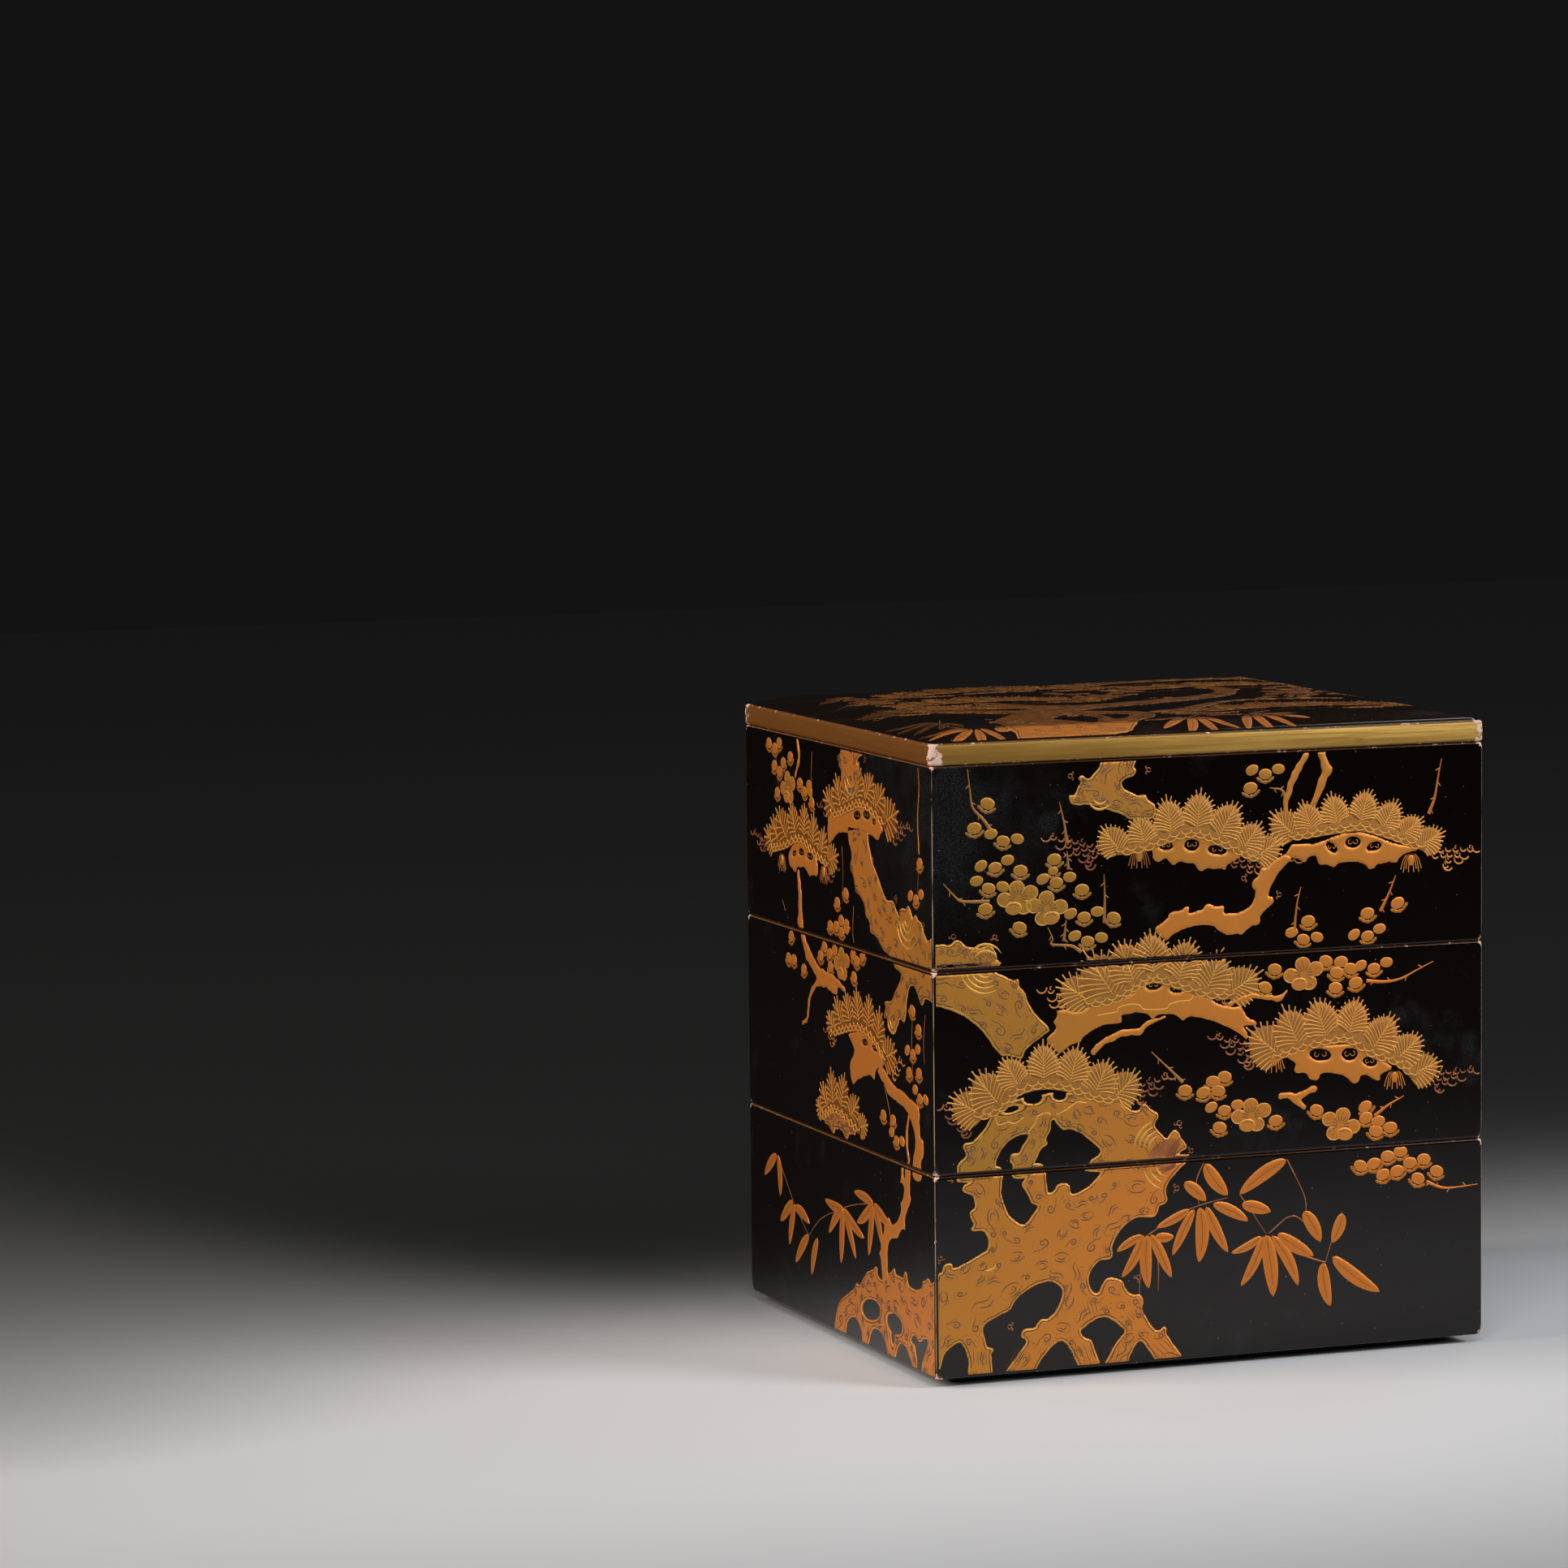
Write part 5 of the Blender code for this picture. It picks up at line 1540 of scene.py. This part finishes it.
def draw(plan, seed, warmth):
    """Draw one face's plan. Stems and twigs come first, and pine and plum over the bark."""
    art = Picture(seed, plan.get("relief", 1.0), plan.get("bold", 1.0))
    for stem in plan["stems"]:
        path = np.column_stack([stem, np.linspace(0.3, 0.22, len(stem))])
        art.stroke(path, 0.1, 0.5, 0.3, THIN, count=5 * len(stem))
    for points in plan["twigs"]:
        slot = GOLD if warmth(*points[0]) > 0.5 else WEB
        art.twig(points, 0.75 / plan.get("bold", 1.0), warmth(*points[0]), slot)
    for bark in plan["barks"]:
        bark = dict(bark)
        warm, lean = bark.pop("warm"), bark.pop("lean", 0.0)
        bark["heat"] = lambda u, v: warm + lean * (u + 70)
        art.bark(**bark)
    for wave in plan.get("waves", ()):
        art.stroke(np.column_stack([wave, np.full(len(wave), 0.3)]), 0.16, 0.3, 1.0, lift=BARK - 0.02)
    for x, y, radii, start, stop in plan["rings"]:
        art.rings((x, y), radii, start, stop)
    for x, y, wide, high, turn in plan.get("scars", ()):
        art.petal((x, y), (wide, high), turn, 0.03, 0.5, 0.2, THIN, lift=BARK, count=28)
    for x, y, end_x, end_y, count, gap in plan.get("grain", ()):
        art.grain((x, y), (end_x, end_y), count, gap)
    for x, y, size, turn in plan["curls"]:
        art.curl((x, y), size, turn)
    for x, y, inner_x, inner_y, rows, slot, warm in plan["lichens"]:
        art.lichen((x, y), (inner_x, inner_y), rows, slot, warm)
    for x, y in plan["tassels"]:
        art.tassel((x, y), warmth(x, y), GOLD if warmth(x, y) > 0.6 else THIN)
    for warm, fans in plan["pads"]:
        art.pad(fans, warm)
    for x, y, tip_x, tip_y, width in plan["leaves"]:
        bend = art.rng.uniform(-0.25, 0.25)
        art.leaf((x, y), (tip_x, tip_y), width, 1.05 + leaf_warmth(art), bend=bend)
    for x, y, *size in plan["buds"]:
        art.bud((x, y), *size, turn=art.rng.uniform(-25, 25), warm=warmth(x, y))
    for x, y in plan["sprays"]:
        art.spray((x, y), turn=art.rng.uniform(-14, 14), warm=warmth(x, y))
    for x, y, *side in plan["blossoms"]:
        art.blossom((x, y), *side, turn=art.rng.uniform(-8, 8), warm=warmth(x, y))
    return art


# The box: a lacquer shell for every solid, and the pictures laid on it

materials = {
    "inside": lacquer_inside("inside red lacquer"),
    "under": lacquer_under("under black lacquer"),
    "band": band_gold("band gold"),
    "top": lid_top_lacquer("lid lacquer"),
}
picture = [picture_gold("picture gold"), picture_line("picture line"), picture_russet("picture russet"),
           picture_gold("picture web gold", 0.85, 0.6)]
# The left face's web is a darker copy of the web gold: painted shade
left_picture = [*picture[:3], picture_gold("left shaded web gold", 0.3, 0.25)]
# The lid's golds are darker copies: painted shade on the lid's top, lighter on its front bevel
lid_picture = [picture_gold("lid shaded picture gold", 0.42, 0.0, 0.82), *picture[1:3],
               picture_gold("lid shaded web gold", 0.3, 0.0, 0.48)]


def front_warmth(u, v):
    """The gold grows more orange from the upper left to the lower right of the front."""
    return float(np.clip(0.45 + u / 160 + (150 - v) / 260, 0.1, 1.0))


def left_lit_warmth(u, v):
    """The gold of the left face is tinted orange, most of all towards the front corner: painted warm light
    on that side.
    """
    return float(np.clip(0.95 + u / 500, 0.1, 1.2))


def plain_warmth(u, v):
    """One middling warmth for the faces that the photo hides."""
    return 0.5


def lid_warmth(u, v):
    """One orange warmth for the whole lid."""
    return 0.95


for index, name in enumerate(TIERS):
    base, top = TIER_BASE[index], TIER_TOP[index]
    wall = lacquer_wall(f"{name} lacquer", base + STEP, top)
    coats = [wall, materials["inside"], materials["under"]]
    body = shell(f"{name}_lacquer", tier_profile(base, top), WIDTH / 2, DEPTH / 2, coats)
    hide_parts(name)
    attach(body, "root")

lid_coats = [materials[coat] for coat in ("band", "inside", "under", "top")]
lid = shell("lid_lacquer", lid_profile(), LID_WIDTH / 2, LID_DEPTH / 2, lid_coats)
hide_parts("lid")
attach(lid, "root")

plans = {
    "front": (FRONT, 1, front_warmth, WIDTH / 2 - EDGE - SIDE_GAP),
    "left": (LEFT, 2, left_lit_warmth, DEPTH / 2 - EDGE - SIDE_GAP),
    "back": (BACK, 3, plain_warmth, WIDTH / 2 - EDGE - SIDE_GAP),
    "right": (RIGHT, 4, plain_warmth, DEPTH / 2 - EDGE - SIDE_GAP),
}
for face, (plan, seed, warmth, reach) in plans.items():
    art = draw(plan, seed, warmth)
    for index, name in enumerate(TIERS):
        low, high = index * PITCH + EDGE + LEVEL_GAP, TIER_TOP[index] - STEP - EDGE - LEVEL_GAP
        golds = left_picture if face == "left" else picture
        gold = art.build(f"{name}_{face}_gold", face, low, high, reach, golds)
        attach(gold, "root")

lid_reach = LID_WIDTH / 2 - LID_GAP
lid_end = LID_DEPTH / 2 - LID_GAP
gold = draw(LID, 5, lid_warmth).build("lid_gold", "lid", -lid_end, lid_end, lid_reach, lid_picture)
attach(gold, "root")


# Stage: a pale floor, six soft lights and the camera of the photo

# The light on the floor is a pool painted in its material: bright up to its level line, then falling off over
# its back distance, with other values at the right and the far left. Places and distances are in metres, and
# the ramps from one value to the next in widths of the pool
FLOOR_GREY = (0.575, 0.585, 0.61)
FLOOR_DARK = (0.004, 0.004, 0.004)
FLOOR_HALF = 4.0
FLOOR_DROP = -1e-4
DUSK = 0.0065
RIGHT_RAMP = (-0.11, 0.19)
LEFT_RAMP = (-0.09, -0.37)
POOL_PLACE = (0.0, -0.18)
POOL_SIZE = (1.25, 0.52)
POOL_BACK = 0.17
POOL_RIGHT_BACK = 0.35
POOL_LEFT_BACK = 0.51
POOL_LEVEL = 0.16
POOL_LEVEL_RIGHT = 0.12
POOL_LEVEL_LEFT = 0.06
POOL_LEFT_SLOWNESS = 0.5
POOL_FALL = 2.3

floor = Finish("floor", Roughness=0.9, Specular_IOR_Level=0.1, Emission_Strength=1.0)
fx, fy, _ = floor.split(floor.place())
fx = (fx * MM - POOL_PLACE[0]) / POOL_SIZE[0]
fy = fy * MM - POOL_PLACE[1]
right = fx.ramp(*RIGHT_RAMP)
far_left = fx.ramp(*LEFT_RAMP)
level = POOL_LEVEL + right * (POOL_LEVEL_RIGHT - POOL_LEVEL) + far_left * (POOL_LEVEL_LEFT - POOL_LEVEL)
reach_back = POOL_BACK + right * (POOL_RIGHT_BACK - POOL_BACK) + far_left * (POOL_LEFT_BACK - POOL_BACK)
back = ((fy - level).most(0.0) / reach_back) ** (1.0 - far_left * POOL_LEFT_SLOWNESS)
fy = back - fy.least(0.0) / POOL_SIZE[1]
pool = ((fx * fx + fy * fy) * -POOL_FALL).math("EXPONENT")
floor.feed("Base Color", floor.mix(pool, FLOOR_DARK, FLOOR_GREY))
# Painted glow: where the painted pool fades, the floor glows with the world's dusk colour
floor.feed("Emission Color", floor.mix(pool, (DUSK, DUSK, DUSK), (0.0, 0.0, 0.0)))
corners = [(x * FLOOR_HALF, y * FLOOR_HALF, FLOOR_DROP) for x, y in ((-1, -1), (1, -1), (1, 1), (-1, 1))]
ground = mesh_object("floor", corners, [[0, 1, 2, 3]], [floor.material])

world = bpy.data.worlds.new("studio")
bpy.context.scene.world = world
world.use_nodes = True
world.node_tree.nodes["Background"].inputs["Color"].default_value = (DUSK, DUSK, DUSK, 1.0)
world.node_tree.nodes["Background"].inputs["Strength"].default_value = 1.0


def soft_light(name, place, aim, size, power, colour=(1.0, 1.0, 1.0)):
    """A rectangular area light at a place, turned to shine on the aim."""
    data = bpy.data.lights.new(name, "AREA")
    data.shape = "RECTANGLE"
    data.size, data.size_y = size
    data.energy = power
    data.color = colour
    light = bpy.data.objects.new(name, data)
    bpy.context.scene.collection.objects.link(light)
    light.location = place
    light.rotation_euler = (Vector(aim) - Vector(place)).to_track_quat("-Z", "Y").to_euler()


CENTRE = (0.0, 0.0, 0.12)
soft_light("key", (-0.9, -1.6, 1.7), CENTRE, (0.9, 0.9), 17)
soft_light("left", (-1.7, 0.1, 0.9), CENTRE, (0.7, 0.9), 30, (1.0, 0.92, 0.82))
soft_light("fill", (1.3, -1.3, 1.0), CENTRE, (0.7, 0.7), 27)
soft_light("front", (-0.2, -2.4, 2.0), CENTRE, (1.0, 0.6), 19)
soft_light("back left", (-1.4, 1.6, 1.7), CENTRE, (0.8, 0.8), 4)
soft_light("back right", (1.5, 1.3, 1.7), CENTRE, (0.8, 0.8), 5)

camera_data = bpy.data.cameras.new("camera")
camera_data.lens = CAMERA_LENS
camera_data.sensor_width = 36.0
camera = bpy.data.objects.new("camera", camera_data)
bpy.context.scene.collection.objects.link(camera)
camera.location = CAMERA_PLACE
camera.rotation_euler = Euler([math.radians(angle) for angle in CAMERA_TURN], "XYZ")
bpy.context.scene.camera = camera
bpy.context.scene.view_settings.view_transform = "Standard"
